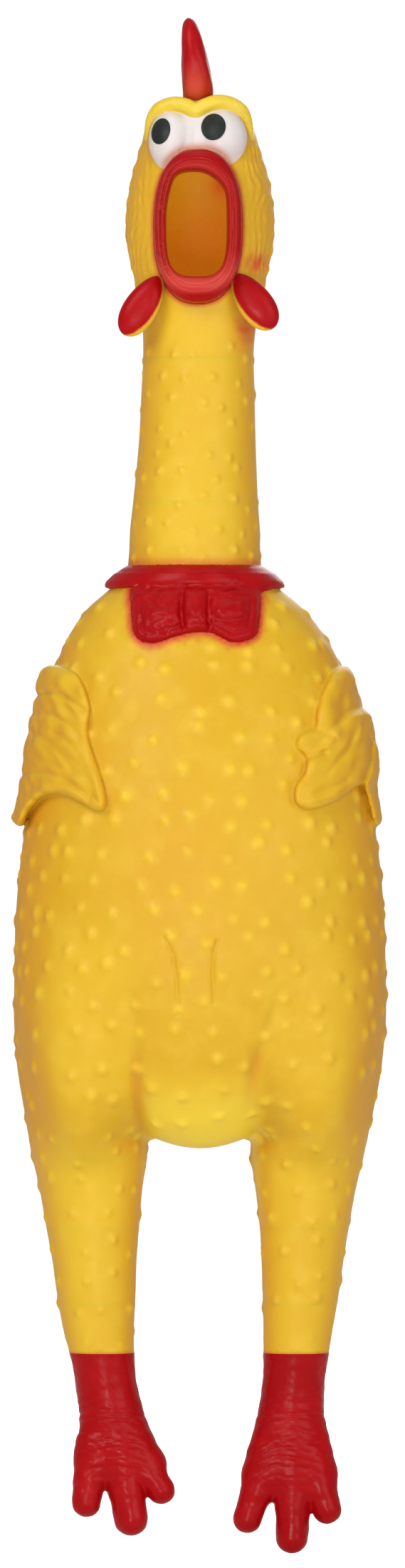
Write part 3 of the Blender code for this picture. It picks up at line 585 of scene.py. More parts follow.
def beak(p):
    """The open lips: a round-fronted band in two tiers round the mouth."""
    x, y, z = p.T
    outer, inner = beak_band(x, z)
    half = np.maximum((inner - outer) / 2, 0.6)
    across = (inner + outer) / 2
    front = -BEAK_FRONT - BEAK_THICK - 1.8 * ((z - 182.0) / 20.0) ** 2
    ahead = np.minimum(y + front, 0.0)
    ring = (np.sqrt((across / half) ** 2 + (ahead / 3.4) ** 2) - 1) * half
    tier = peak(across / half + 0.12, 0.22) * 0.55
    fold = peak(across / half - 0.6, 0.16) * 0.22
    crinkle = 0.03 * wave_noise(p, 5.0, 31)
    return cross(ring + (tier + fold) * fade(y, -19.0, -22.0) + crinkle, y + 6.0, 1.0)


def brow(p):
    """A thick ridge over the eyes, which runs back into the head."""
    x, y, z = p.T
    path = through(np.arange(len(BROW)), np.array(BROW), np.linspace(0, len(BROW) - 1, 56))
    best = np.full(len(p), 1e9)
    for k, (a, b) in enumerate(zip(path, path[1:])):
        e = b - a
        t = np.clip(((x - a[0]) * e[0] + (z - a[2]) * e[2]) / (e[0] ** 2 + e[2] ** 2), 0, 1)
        front = a[1] + t * e[1]
        deep = np.maximum(np.maximum(front - y, y - front - 8.0), 0)
        end = min(k, len(path) - 2 - k) / 10
        radius = BROW_RADIUS * (0.62 + 0.38 * min(end, 1.0))
        flat = (x - a[0] - t * e[0]) ** 2 + (z - a[2] - t * e[2]) ** 2
        best = np.minimum(best, np.sqrt(flat + deep**2) - radius)
    return best


def eyes(p, d):
    """Two balls side by side, which run into one another."""
    balls = None
    for centre, half in EYES.values():
        place = (centre[0], EYE_CENTRE_Y, centre[1] - 0.4)
        ball = ellipsoid(p, place, (half[0] + 0.3, 8.0, half[1] + 0.3))
        balls = ball if balls is None else join(balls, ball, 5.0)
    groove = 0.3 * peak(p[:, 0] - EYE_SEAM, 0.4) * fade(p[:, 1], -8.0, -12.0)
    return join(d, balls + groove, 1.2)


def cheek_wrinkles(p):
    """Feathery folds that run down the sides and the back of the head."""
    x, y, z = p.T
    turn = np.arctan2(y, x)
    around = np.where(y < 0, np.abs(np.abs(turn) - math.pi / 2), math.pi / 2 + np.abs(turn)) * 17.5
    drift = around + 1.3 * np.sin(z / 4.6 + 0.7 * np.sign(x)) + 1.1 * wave_noise(p, 10.0, 41)
    ridge = 0.5 + 0.5 * np.cos(2 * math.pi * drift / 2.7)
    tufts = 0.5 + 0.5 * np.cos(2 * math.pi * (z + 2.4 * np.cos(2 * math.pi * drift / 5.4)) / 4.4)
    strength = fade(z, 207.0, 200.0) * fade(z, 157.0, 166.0)
    strength = strength * np.maximum(fade(np.abs(x), 10.5, 13.5), fade(y, -4.0, 2.0))
    faded = 0.55 + 0.45 * wave_noise(p, 8.0, 43)
    return strength * faded * (0.14 * ridge**1.5 + 0.36 * tufts * ridge)


def parting_line(p):
    """The faint line left where the mould's halves met."""
    return 0.13 * peak(p[:, 1] - 1.0, 0.35)


def cavity(p):
    """The hollow of the head and the way into it through the mouth."""
    x, y, z = p.T
    hollow = trunk(p) + WALL
    way_in = cross(mouth_hole(x, z), y + 9.0, 1.0)
    return join(hollow, way_in, 0.8)


def skin(p):
    """Distance to the outside of the whole moulding, with all its relief."""
    x, y, z = p.T
    low, high = z.min(), z.max()
    d = body(p)
    if low < -110:
        d = toes(p, d)
        d += np.where(z < -112.0, foot_wrinkles(p) - foot_grain(p), 0.0)
    d -= pimples(p) * fade(z, -111.0, -106.0)
    d -= parting_line(p) * fade(z, 200.0, 190.0) * fade(z, -135.0, -125.0)
    if low < 30 and high > -60:
        front = fade(y, -4.0, -12.0)
        d += front * (keel(x, z) + pouch(x, z) * fade(z, -14.0, -24.0))
        d = join(d, tail(p), 2.5)
    if low < 72 and high > 18:
        for name in wing_outlines:
            d = join(d, wing(name, p), 0.9)
    if low < 98 and high > 68:
        d = join(join(d, collar(p), 0.3), bow(p), 0.5)
    if high > 150:
        d -= cheek_wrinkles(p)
        d = eyes(p, d)
        d = join(d, brow(p), 0.9)
        d = join(d, beak(p), 0.9)
        d = cross(d, -cavity(p), 0.5)
    return d


def comb(p):
    """The upright fin, thick at its foot and thin at its points."""
    x, y, z = p.T
    t = np.clip((z - COMB_FOOT) / (COMB_TOP - COMB_FOOT), 0.0, 1.1)
    middle, half = -0.5 - 2.3 * t**1.25, 4.1 - 2.2 * t**1.4
    along = np.clip((y + 9.0) / 27.0, 0, 1)
    thin = half * (1 - 0.28 * along)
    d = cross(np.abs(x - middle) - thin, comb_outline(y, z), 3.4)
    ribs = 0.16 * np.cos(2 * math.pi * (y + 0.25 * (z - COMB_FOOT)) / 5.6) * fade(z, 232.0, 222.0)
    return d - ribs * fade(z, COMB_FOOT, COMB_FOOT + 6) + 0.05 * wave_noise(p, 4.0, 61)


def wattle(name, p):
    """A hanging lobe, narrower towards its root and dished in front."""
    centre, radii, lean = WATTLES[name]
    x, y, z = (p - centre).T
    u, w = turned(x, z, lean)
    u = u / (1 - 0.16 * w / radii[2])
    dish = 0.45 * np.exp(-((u / 2.6) ** 2 + (w / 5.0) ** 2)) * fade(y, 0.0, -1.5)
    return ellipsoid(np.stack([u, y, w], 1), (0.0, 0.0, 0.0), radii) + dish


# ---------------------------------------------------------------- from a field to a mesh

def in_parts(field, p, size=250000):
    """A field's values at many points, worked out a part at a time to save memory."""
    return np.concatenate([field(chunk) for chunk in np.array_split(p, len(p) // size + 1)])


def sampled(field, low, high, step):
    """The field's values on a grid. Far from the surface they are only rough."""
    coarse = 4
    counts = [int(math.ceil((b - a) / step / coarse)) * coarse + 1 for a, b in zip(low, high)]
    axes = [a + step * np.arange(n) for a, n in zip(low, counts)]
    rough = np.stack(np.meshgrid(*[axis[::coarse] for axis in axes], indexing="ij"), -1)
    rough = in_parts(field, rough.reshape(-1, 3)).reshape(rough.shape[:3])
    nearest = [
        np.clip((np.arange(n) + coarse // 2) // coarse, 0, r - 1) for n, r in zip(counts, rough.shape)
    ]
    values = rough[np.ix_(*nearest)].copy()
    close = np.abs(values) < coarse * step * 1.3 + 1.5
    where = np.argwhere(close)
    values[close] = in_parts(field, np.array(low) + step * where)
    return values


def surface_net(values, low, step):
    """Vertices and triangles of the surface where values change sign."""
    inside = values < 0
    shape = tuple(n - 1 for n in inside.shape)
    count = np.zeros(shape, np.int8)
    for o in itertools.product((0, 1), repeat=3):
        count += inside[tuple(slice(k, k + n) for k, n in zip(o, shape))]
    on_surface = (count > 0) & (count < 8)
    cells = np.argwhere(on_surface)
    index = np.full(shape, -1, np.int64)
    index[on_surface] = np.arange(len(cells))
    total, hits = np.zeros((len(cells), 3)), np.zeros(len(cells))
    for axis in range(3):
        unit = np.eye(3, dtype=int)[axis]
        for b, c in itertools.product((0, 1), repeat=2):
            o = np.roll((0, b, c), axis)
            va, vb = values[tuple((cells + o).T)], values[tuple((cells + o + unit).T)]
            hit = (va < 0) != (vb < 0)
            t = np.where(hit, va / np.where(hit, va - vb, 1.0), 0.0)
            total += hit[:, None] * (o + t[:, None] * unit)
            hits += hit
    points = np.array(low) + step * (cells + total / hits[:, None])
    quads = []
    for axis in range(3):
        unit, u, v = (np.roll((1, 0, 0), axis + k) for k in range(3))
        a = inside[tuple(slice(0, n - k) for n, k in zip(inside.shape, unit))]
        b = inside[tuple(slice(k, None) for k in unit)]
        g = np.argwhere(a != b)
        for other in ((axis + 1) % 3, (axis + 2) % 3):
            g = g[(g[:, other] > 0) & (g[:, other] < shape[other])]
        around = [g, g - u, g - u - v, g - v]
        quad = np.stack([index[tuple(c.T)] for c in around], 1)
        outwards = a[tuple(g.T)]
        quad[~outwards] = quad[~outwards][:, ::-1]
        quads.append(quad)
    quads = np.concatenate(quads)
    ac = np.linalg.norm(points[quads[:, 0]] - points[quads[:, 2]], axis=1)
    bd = np.linalg.norm(points[quads[:, 1]] - points[quads[:, 3]], axis=1)
    short = (ac <= bd)[:, None]
    first = np.where(short, quads[:, [0, 1, 2]], quads[:, [0, 1, 3]])
    second = np.where(short, quads[:, [0, 2, 3]], quads[:, [1, 2, 3]])
    return points, np.concatenate([first, second])


def gradient(field, p, reach=0.06):
    """The field's slope, from its values a little way off on both sides."""
    offsets = reach * np.eye(3)
    return np.stack([(in_parts(field, p + o) - in_parts(field, p - o)) / (2 * reach) for o in offsets], 1)


def settle(field, p, level=0.0, rounds=2, most=0.6, hold=None):
    """Moves points onto a level of the field. A held axis keeps its coordinate."""
    for _ in range(rounds):
        g = gradient(field, p)
        if hold is not None:
            g[:, hold] = 0
        step = (in_parts(field, p) - level) / np.maximum((g**2).sum(1), 0.05)
        p = p - np.clip(step[:, None] * g, -most, most)
    return p


def normals_of(field, p):
    g = gradient(field, p, 0.1)
    return g / (np.linalg.norm(g, axis=1)[:, None] + 1e-9)


pimples = Pimples([
    (trunk, -52.0, 84.0, *TRUNK_PIMPLES),
    (trunk, 95.5, 150.0, *NECK_PIMPLES),
    (legs["left"], -108.0, -50.0, *LEG_PIMPLES),
    (legs["right"], -108.0, -50.0, *LEG_PIMPLES),
])


def placed(name, data):
    """A new object in the scene."""
    obj = bpy.data.objects.new(name, data)
    bpy.context.scene.collection.objects.link(obj)
    return obj


class Patch:
    """A piece of the surface: points and triangles."""

    def __init__(self, points, triangles):
        used = np.unique(triangles)
        new = np.full(len(points), -1)
        new[used] = np.arange(len(used))
        self.p, self.t = points[used], new[triangles]


def thinned(patch, share):
    """Fewer triangles, kept where the surface is bumpy."""
    mesh = bpy.data.meshes.new("thinned")
    mesh.from_pydata(patch.p.tolist(), [], patch.t.tolist())
    obj = placed("thinned", mesh)
    step = obj.modifiers.new("thin", "DECIMATE")
    step.ratio = share
    step.use_collapse_triangulate = True
    shown = obj.evaluated_get(bpy.context.evaluated_depsgraph_get()).data
    points = np.zeros(len(shown.vertices) * 3)
    shown.vertices.foreach_get("co", points)
    triangles = np.zeros(len(shown.polygons) * 3, int)
    shown.polygons.foreach_get("vertices", triangles)
    bpy.data.objects.remove(obj)
    bpy.data.meshes.remove(mesh)
    return Patch(points.reshape(-1, 3), triangles.reshape(-1, 3))


def meshed(field, low, high, step, share=1.0):
    """The surface of a field inside a box, as a patch with this share of its first triangles."""
    points, triangles = surface_net(sampled(field, low, high, step), low, step)
    patch = Patch(settle(field, points, most=step), triangles)
    if share < 1:
        patch = thinned(patch, share)
        patch.p = settle(field, patch.p, most=step)
    return patch


def cut(patch, scalar, field, hold=None):
    """The part of a patch where scalar is below zero, and the part where it is above."""
    sign = np.sign(scalar).astype(int)
    corner = sign[patch.t]
    crossed = (corner.min(1) < 0) & (corner.max(1) > 0)
    below = ~crossed & (corner.sum(1) < 0)
    above = ~crossed & ~below
    made, lower, upper, fresh = {}, [], [], []

    def between(a, b):
        key = (min(a, b), max(a, b))
        if key not in made:
            made[key] = len(patch.p) + len(fresh)
            t = scalar[a] / (scalar[a] - scalar[b])
            fresh.append(patch.p[a] + t * (patch.p[b] - patch.p[a]))
        return made[key]

    for tri in patch.t[crossed].tolist():
        loops = {-1: [], 1: []}
        for a, b in zip(tri, tri[1:] + tri[:1]):
            for way in (-1, 1):
                if sign[a] in (way, 0):
                    loops[way].append(a)
            if sign[a] * sign[b] < 0:
                new = between(a, b)
                loops[-1].append(new)
                loops[1].append(new)
        for way, side in ((-1, lower), (1, upper)):
            loop = loops[way]
            side.extend((loop[0], loop[k], loop[k + 1]) for k in range(1, len(loop) - 1))
    if fresh:
        points = np.vstack([patch.p, settle(field, np.array(fresh), hold=hold, most=0.2)])
    else:
        points = patch.p
    parts = []
    for whole, pieces in ((below, lower), (above, upper)):
        triangles = np.vstack([patch.t[whole], np.array(pieces, int).reshape(-1, 3)])
        parts.append(Patch(points, triangles))
    return parts


def cut_at(patch, z, field, snap=0.25):
    """Divides a patch at a height, and moves the points nearest to it onto it."""
    near = np.abs(patch.p[:, 2] - z) < snap
    patch.p[near, 2] = z
    patch.p[near] = settle(field, patch.p[near], hold=2, most=0.2)
    return cut(patch, patch.p[:, 2] - z, field, hold=2)


def shell(patch, outer_normals, inner_points):
    """Closes a patch: its outside, its inside and the rim between them."""
    count = len(patch.p)
    edges = np.vstack([patch.t[:, [0, 1]], patch.t[:, [1, 2]], patch.t[:, [2, 0]]])
    keys = edges[:, 0] * count + edges[:, 1]
    back = edges[:, 1] * count + edges[:, 0]
    rim = edges[~np.isin(keys, back)]
    a, b = rim.T
    rims = np.vstack([np.stack([b, a, a + count], 1), np.stack([b, a + count, b + count], 1)])
    triangles = np.vstack([patch.t, patch.t[:, ::-1] + count, rims])
    return np.vstack([patch.p, inner_points]), triangles, np.vstack([outer_normals, -outer_normals])


# ---------------------------------------------------------------- materials

def nodes_of(name):
    """A new material, its node tree and its shader."""
    made = bpy.data.materials.new(name)
    made.use_nodes = True
    tree = made.node_tree
    return made, tree, tree.nodes["Principled BSDF"]


def put(tree, socket, value):
    """Gives an input a value, or links it to another node's output."""
    if isinstance(value, bpy.types.NodeSocket):
        tree.links.new(value, socket)
    else:
        socket.default_value = value


def add(tree, kind, *inputs, **settings):
    """A new node. Its first inputs are given in their order, other inputs and settings by name."""
    node = tree.nodes.new(kind)
    for key, value in settings.items():
        if key in node.inputs:
            put(tree, node.inputs[key], value)
        else:
            setattr(node, key, value)
    for socket, value in zip(node.inputs, inputs):
        put(tree, socket, value)
    return node


def object_place(tree):
    return add(tree, "ShaderNodeTexCoord").outputs["Object"]


def noise(tree, place, scale, detail=3.0, roughness=0.5):
    node = add(tree, "ShaderNodeTexNoise", place, Scale=scale, Detail=detail, Roughness=roughness)
    return node.outputs["Fac"]


def remapped(tree, value, low, high, to_low=0.0, to_high=1.0):
    return add(tree, "ShaderNodeMapRange", value, low, high, to_low, to_high).outputs[0]


def mixed(tree, share, a, b):
    """Two colours, each a value or a socket, mixed by a share that is a socket."""
    node = add(tree, "ShaderNodeMix", share, data_type="RGBA")
    sockets = [s for s in node.inputs if s.type == "RGBA"]
    for socket, colour in zip(sockets, (a, b)):
        put(tree, socket, (*colour, 1.0) if isinstance(colour, tuple) else colour)
    return next(s for s in node.outputs if s.type == "RGBA")


def combined(tree, operation, a, b, **settings):
    """Two numbers added or multiplied."""
    return add(tree, "ShaderNodeMath", a, b, operation=operation, **settings).outputs[0]


def relief(tree, height, strength, distance):
    node = add(tree, "ShaderNodeBump", Strength=strength, Distance=distance, Height=height)
    return node.outputs["Normal"]


def for_camera(tree, output, lit, seen):
    """Light meets one shader, and the camera sees another."""
    by_camera = add(tree, "ShaderNodeLightPath").outputs["Is Camera Ray"]
    mix = add(tree, "ShaderNodeMixShader", by_camera, lit.outputs[0], seen.outputs[0])
    put(tree, tree.nodes[output].inputs["Surface"], mix.outputs[0])


def attribute(tree, name):
    return add(tree, "ShaderNodeAttribute", attribute_name=name).outputs["Fac"]


# How far light spreads inside the vinyl, in metres
SCATTER = 0.0022


def vinyl(name, base, deep, light, roughness=0.44, soft=0.25, bump=0.06, shade_and_tone_colour=None, spray_and_shade_paint=None,
          pale=None, coat=0.0, shine=0.3, glow=0.0):
    """Soft painted vinyl. Deep and light vary the base colour, and attributes mix in other paints,
    painted shade and painted highlights.
    Glow is painted light: an emission that stands in for the light that comes through a thin wall from
    outside."""
    made, tree, shader = nodes_of(name)
    place = object_place(tree)
    broad = remapped(tree, noise(tree, place, 22.0, 2.0), 0.35, 0.65)
    colour = mixed(tree, broad, deep, base)
    spots = remapped(tree, noise(tree, place, 160.0, 3.0), 0.48, 0.72, 0.0, 0.5)
    colour = mixed(tree, spots, colour, light)
    # Painted shade, and a deeper tone in places, mixed in by a value at each point.
    if shade_and_tone_colour is not None:
        colour = mixed(tree, attribute(tree, "painted_shade_and_tone"), colour, shade_and_tone_colour)
    # Painted highlights, painted light and a paler tone mixed in by a value at each point; in the throat
    # the same value lays on a red smear.
    if pale is not None:
        colour = mixed(tree, attribute(tree, "pale"), colour, pale)
    # A second paint mixed in by a value at each point: real overspray on most pieces, painted shade in
    # the throat.
    if spray_and_shade_paint is not None:
        grain = remapped(tree, noise(tree, place, 900.0, 2.0), 0.3, 0.7, -0.12, 0.12)
        spray_and_shade = attribute(tree, "spray_and_shade")
        broken = combined(tree, "MULTIPLY", grain, spray_and_shade)
        colour = mixed(tree, combined(tree, "ADD", spray_and_shade, broken, use_clamp=True), colour, spray_and_shade_paint)
    gloss = remapped(tree, noise(tree, place, 70.0, 4.0), 0.3, 0.7, roughness - 0.07, roughness + 0.09)
    height = combined(tree, "ADD", noise(tree, place, 2600.0, 2.0), noise(tree, place, 420.0, 3.0))
    look = {
        "Base Color": colour, "Roughness": gloss, "Normal": relief(tree, height, bump, 0.0004),
        "Subsurface Weight": soft, "Subsurface Radius": (1.0, 0.42, 0.10), "Subsurface Scale": SCATTER,
        "Coat Weight": coat, "Coat Roughness": 0.25, "Specular IOR Level": shine,
    }
    if glow:
        look.update({"Emission Color": colour, "Emission Strength": glow})
    for key, value in look.items():
        put(tree, shader.inputs[key], value)
    return made


RED_SPRAY = (0.62, 0.035, 0.02)
# The deeper orange is painted shade and a deeper tone, the pale colour is painted highlight, painted
# light and a paler tone, and the red is real overspray.
yellow = vinyl(
    "yellow_vinyl", (0.705, 0.430, 0.017), (0.67, 0.382, 0.012), (0.75, 0.485, 0.034),
    shade_and_tone_colour=(0.66, 0.29, 0.012), spray_and_shade_paint=RED_SPRAY, pale=(0.92, 0.66, 0.050), shine=0.25,
)
lemon = vinyl("lemon_vinyl", (0.80, 0.58, 0.045), (0.73, 0.46, 0.022), (0.84, 0.66, 0.10), coat=0.15)
# The pale colour is a painted highlight on the lips and the comb. The yellow is the vinyl showing where
# the red is thin or missing.
red = vinyl(
    "red_paint", (0.40, 0.002, 0.004), (0.33, 0.001, 0.003), (0.45, 0.006, 0.008), roughness=0.30,
    soft=0.05, bump=0.08, spray_and_shade_paint=(0.80, 0.46, 0.04), pale=(0.78, 0.11, 0.075), shine=0.12,
)
white = vinyl(
    "eye_white", (0.74, 0.69, 0.67), (0.70, 0.63, 0.61), (0.78, 0.74, 0.73), roughness=0.38,
    soft=0.15, spray_and_shade_paint=(0.72, 0.27, 0.11), coat=0.05,
)
black = vinyl(
    "pupil_black", (0.016, 0.020, 0.015), (0.010, 0.013, 0.010), (0.026, 0.030, 0.024),
    roughness=0.45, soft=0.0, shine=0.25,
)
# The throat's darker colour is painted shade, and its glow is painted light that stands in for light
# coming through the thin wall. Its third colour is a real red smear.
lining = vinyl(
    "mouth_lining", (0.39, 0.176, 0.005), (0.37, 0.160, 0.004), (0.42, 0.190, 0.006), roughness=0.6,
    soft=0.0, spray_and_shade_paint=(0.365, 0.108, 0.003), pale=(0.36, 0.016, 0.004), glow=0.8,
)


def plastic(name, base, deep, light, roughness, metallic=0.0):
    """Plain moulded plastic or thin metal."""
    made, tree, shader = nodes_of(name)
    place = object_place(tree)
    colour = mixed(tree, noise(tree, place, 90.0, 3.0), deep, base)
    flow = remapped(tree, noise(tree, place, 400.0, 2.0), 0.5, 0.8, 0.0, 0.5)
    gloss = remapped(tree, noise(tree, place, 260.0, 3.0), 0.3, 0.7, roughness - 0.06, roughness + 0.1)
    look = {
        "Base Color": mixed(tree, flow, colour, light), "Roughness": gloss, "Metallic": metallic,
        "Normal": relief(tree, noise(tree, place, 1500.0, 2.0), 0.08, 0.0003),
    }
    for key, value in look.items():
        put(tree, shader.inputs[key], value)
    return made


# ---------------------------------------------------------------- pieces

def painted_shade_and_tone(p, n):
    """Where the vinyl is a deeper orange: painted shade where the skin turns to the sides and in the
    creases beside the pouch, and a deeper tone on the cheeks and mid-belly.
    """
    side = 0.85 * fade(np.abs(n[:, 0]), 0.5, 0.97)
    x, y, z = p.T
    cheek = 0.4 * fade(np.abs(x), 11.0, 15.0) * fade(z, 157.0, 168.0)
    belly = 0.3 * blot(p, (0.0, 10.0), (30.0, 26.0))
    crotch = 0.8 * fade(pouch(x, z), 0.15, 0.7) * fade(z, -30.0, -38.0)
    front = fade(y, -4.0, -12.0)
    return np.maximum(np.maximum(side, cheek), np.maximum(belly, crotch) * front)


def pallor(p):
    """Where the vinyl is lighter: painted light under the pouch, a painted highlight on the pimples and a
    little on the thighs, and a paler tone on the neck and legs.
    """
    x, y, z = p.T
    pouch_end = fade(z, -34.0, -57.0) * fade(np.abs(x - 0.5), 17.5, 12.0) * fade(y, 4.0, -6.0)
    from_thigh = np.hypot((np.abs(x) - 29.0) / 15.0, (z + 25.0) / 24.0)
    thigh = 0.12 * fade(from_thigh, 1.1, 0.7) * fade(y, 4.0, -6.0)
    limb = np.where(z > 0, 0.15 * fade(z, 92.0, 100.0), 0.16 * fade(z, -50.0, -66.0))
    pale = np.maximum(np.maximum(pouch_end, thigh), limb)
    # A painted highlight on each pimple, weaker towards the sides.
    lit = 0.38 - 0.24 * fade(np.abs(x), 24.0, 44.0)
    return np.maximum(pale, lit * np.minimum(pimples(p) / 0.6, 1.0))


def even(p):
    """No lighter places: no painted highlight anywhere."""
    return np.zeros(len(p))


def thin_on_lips(p):
    """A painted highlight: the lips' red is lighter along their inner fold, most of all low down."""
    x, y, z = p.T
    _, inner = beak_band(x, z)
    low = fade(z, 174.0, 166.0)
    fold = fade(np.abs(inner - 1.5 - 0.7 * low), 1.9 + 1.4 * low, 0.3) * fade(y, -17.0, -21.0)
    return fold * (0.16 + 0.30 * low)


def thin_on_comb(p):
    """A painted highlight: the comb's red is lighter in the middle of its foot."""
    return 0.5 * fade(p[:, 2], 225.0, 213.0) * fade(np.abs(p[:, 0] + 1.4), 3.4, 0.8)


def build(name, points, triangles, normals, material, attributes):
    """An object made of triangles, in metres, with its own normals and values at each point."""
    mesh = bpy.data.meshes.new(name)
    mesh.vertices.add(len(points))
    mesh.vertices.foreach_set("co", (points * MM).astype(np.float32).ravel())
    mesh.loops.add(len(triangles) * 3)
    mesh.loops.foreach_set("vertex_index", triangles.astype(np.int32).ravel())
    mesh.polygons.add(len(triangles))
    mesh.polygons.foreach_set("loop_start", np.arange(0, len(triangles) * 3, 3, dtype=np.int32))
    mesh.polygons.foreach_set("loop_total", np.full(len(triangles), 3, np.int32))
    mesh.update(calc_edges=True)
    mesh.validate()
    mesh.shade_smooth()
    mesh.normals_split_custom_set_from_vertices(normals.tolist())
    for key, values in attributes.items():
        layer = mesh.attributes.new(key, "FLOAT", "POINT")
        layer.data.foreach_set("value", values.astype(np.float32))
    mesh.materials.append(material)
    return placed(name, mesh)


def piece(name, patch, field, material, replaces=(), inside=None, depth=WALL, spray_and_shade=None,
          pale=pallor, lift=0.0):
    """One closed piece of the toy. Its inside is a level of a smoother field, or a plain offset."""
    normals = normals_of(field, patch.p)
    patch.p = patch.p + lift * normals
    if inside is None:
        inner = patch.p - (depth + lift) * normals
    else:
        inner = settle(inside, patch.p - 0.6 * depth * normals, level=-depth, rounds=4, most=4.0)
    points, triangles, all_normals = shell(patch, normals, inner)
    spray_and_shade_paint = np.zeros(len(patch.p)) if spray_and_shade is None else spray_and_shade(patch.p, normals)
    # The materials mix colours by these values: painted shade with a deeper tone, real overspray (painted
    # shade in the throat), and painted highlights with a paler tone (a red smear in the throat).
    attributes = {
        "painted_shade_and_tone": np.tile(painted_shade_and_tone(patch.p, normals), 2), "spray_and_shade": np.tile(spray_and_shade_paint, 2),
        "pale": np.tile(pale(patch.p), 2),
    }
    obj = build(name, points, triangles, all_normals, material, attributes)
    if replaces:
        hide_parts(*replaces)
    return obj


def bend(obj, a, b, axis, start, end):
    """Bakes obj's placement into its mesh; the bodies a and b, the axis, start and end are not used."""
    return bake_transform(obj)


def squeeze(obj):
    """A piece of the body, handed to bend between the torso and the belly."""
    return bend(obj, "torso", "belly", 1, *BELLY_BEND)


def red_dust(p, _normals):
    """Red paint that strayed over the edges of the collar and the bow tie."""
    near = np.minimum(bow(p), collar(p) + 1.2)
    return 0.95 * fade(near, 2.3, 0.1) * fade(p[:, 2], 66.0, 70.0)


def wing_area(name):
    side = SIDES[name.split("_")[0]]
    return lambda p: np.where(p[:, 0] * side > 0, wing(name, p) - 0.3, OUTSIDE)


def body_pieces():
    """The body's skin, with the collar, the bow tie, the wings and the tail as pieces of their own."""
    patch = meshed(skin, (-58.0, -44.0, -66.0), (58.0, 40.0, 96.0), 0.8, share=0.5)
    patch = cut_at(patch, LEG_SEAMS[0], skin)[1]
    patch = cut_at(patch, NECK_SEAMS[0], skin)[0]
    regions = [
        ("collar", lambda p: collar(p) - 0.12, red, "red_paint"),
        ("bow_tie", lambda p: bow(p) - 0.2, red, "red_paint"),
        ("left_wing", wing_area("left_wing"), yellow, "yellow_skin"),
        ("right_wing", wing_area("right_wing"), yellow, "yellow_skin"),
        ("tail", lambda p: tail(p) - 0.5, yellow, "yellow_skin"),
    ]
    for name, region, material, slot_name in regions:
        made, patch = cut(patch, region(patch.p), skin)
        spray_and_shade, pale = (red_dust, pallor) if material is yellow else (None, even)
        squeeze(piece(
            f"{name}_relief", made, skin, material, [name], inside=body, spray_and_shade=spray_and_shade,
            pale=pale,
        ))
    squeeze(piece(
        "body_skin", patch, skin, yellow, ["torso_shell", "belly_panel"], inside=body,
        spray_and_shade=red_dust,
    ))


def neck_dust(p, _normals):
    """Red dust round the collar and under the left wattle."""
    rim = 0.55 * fade(p[:, 2], COLLAR_TOP + 2.4, COLLAR_TOP + 0.2)
    smear = blot(p, (12.2, 153.6), (3.2, 4.8)) * fade(p[:, 1], 2.0, -4.0)
    return np.maximum(rim, 0.85 * smear * (0.75 + 0.25 * wave_noise(p, 3.0, 51)))


def neck_pieces():
    """The neck's skin in two lengths. The throat belongs to the head."""
    patch = meshed(skin, (-22.0, -21.0, 88.0), (20.0, 21.0, 150.0), 0.7, share=0.6)
    patch = cut_at(patch, NECK_SEAMS[0], skin)[1]
    lower, rest = cut_at(patch, NECK_SEAMS[1], skin)
    upper = cut_at(rest, NECK_SEAMS[2], skin)[0]
    made = piece(
        "lower_neck_skin", lower, skin, yellow, ["neck_base_flex", "lower_neck"],
        inside=body, spray_and_shade=neck_dust,
    )
    bend(made, "torso", "neck_lower", 2, *NECK_BENDS[0])
    made = piece(
        "upper_neck_skin", upper, skin, yellow, ["neck_mid_flex", "upper_neck"],
        inside=body, spray_and_shade=neck_dust,
    )
    bend(made, "neck_lower", "neck_upper", 2, *NECK_BENDS[1])


def ankle_dust(p, _normals):
    """Red dust just above the feet."""
    return 0.5 * fade(p[:, 2], LEG_SEAMS[3] + 0.6, LEG_SEAMS[3])


def leg_pieces():
    """Each leg's skin in three lengths, from the hip down to the painted foot."""
    bodies = ("torso", "{}_thigh", "{}_shank", "{}_foot")
    parts = (
        ("upper_leg_skin", ("{}_hip_flex", "{}_thigh")),
        ("lower_leg_skin", ("{}_leg_flex", "{}_shank")),
        ("ankle_skin", ("{}_ankle_flex",)),
    )
    for side_name, side in SIDES.items():
        low, high = sorted((side * 12.0, side * 47.0))
        patch = meshed(skin, (low, -20.0, -118.0), (high, 20.0, -58.0), 0.7, share=0.55)
        patch = cut_at(patch, LEG_SEAMS[0], skin)[0]
        for k, (name, nodes) in enumerate(parts):
            patch, made = cut_at(patch, LEG_SEAMS[k + 1], skin)
            obj = piece(
                f"{side_name}_{name}", made, skin, yellow,
                [n.format(side_name) for n in nodes], inside=body,
                spray_and_shade=ankle_dust,
            )
            a, b = (text.format(side_name) for text in bodies[k:k + 2])
            bend(obj, a, b, 2, *LEG_BENDS[k])


def foot_pieces():
    for side_name, side in SIDES.items():
        low, high = sorted((side * 3.0, side * 41.0))
        patch = meshed(skin, (low, -15.0, -168.0), (high, 15.0, -110.0), 0.55, share=0.7)
        patch = cut_at(patch, LEG_SEAMS[3], skin)[0]
        obj = piece(
            f"{side_name}_foot_skin", patch, skin, red, [f"{side_name}_foot"], depth=1.0,
            pale=even,
        )
        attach(obj, f"{side_name}_foot")


def face_dust(p, _normals):
    """Red dust on the cheeks and round the lips."""
    x, y, z = p.T
    outer, _ = beak_band(x, z)
    lips = 0.75 * fade(outer, 1.5, 0.1) * fade(y, -6.0, -10.0)
    smear = blot(p, (14.4, 170.6), (3.0, 2.6)) * fade(y, 2.0, -3.0)
    smear = smear * (0.7 + 0.3 * wave_noise(p, 2.6, 52))
    return np.maximum(np.maximum(lips, smear), neck_dust(p, _normals))


def eye_area(p):
    """The white of both eyes, seen from the front. The brow and the beak cover its ends in the middle."""
    x, z = p[:, 0], p[:, 2]
    middle = np.maximum(np.abs(x - EYE_SEAM) - 5.0, np.abs(z - 203.4) - 6.0)
    return np.minimum(middle, np.minimum(*[oval(x, z, centre, half) for centre, half in EYES.values()]))


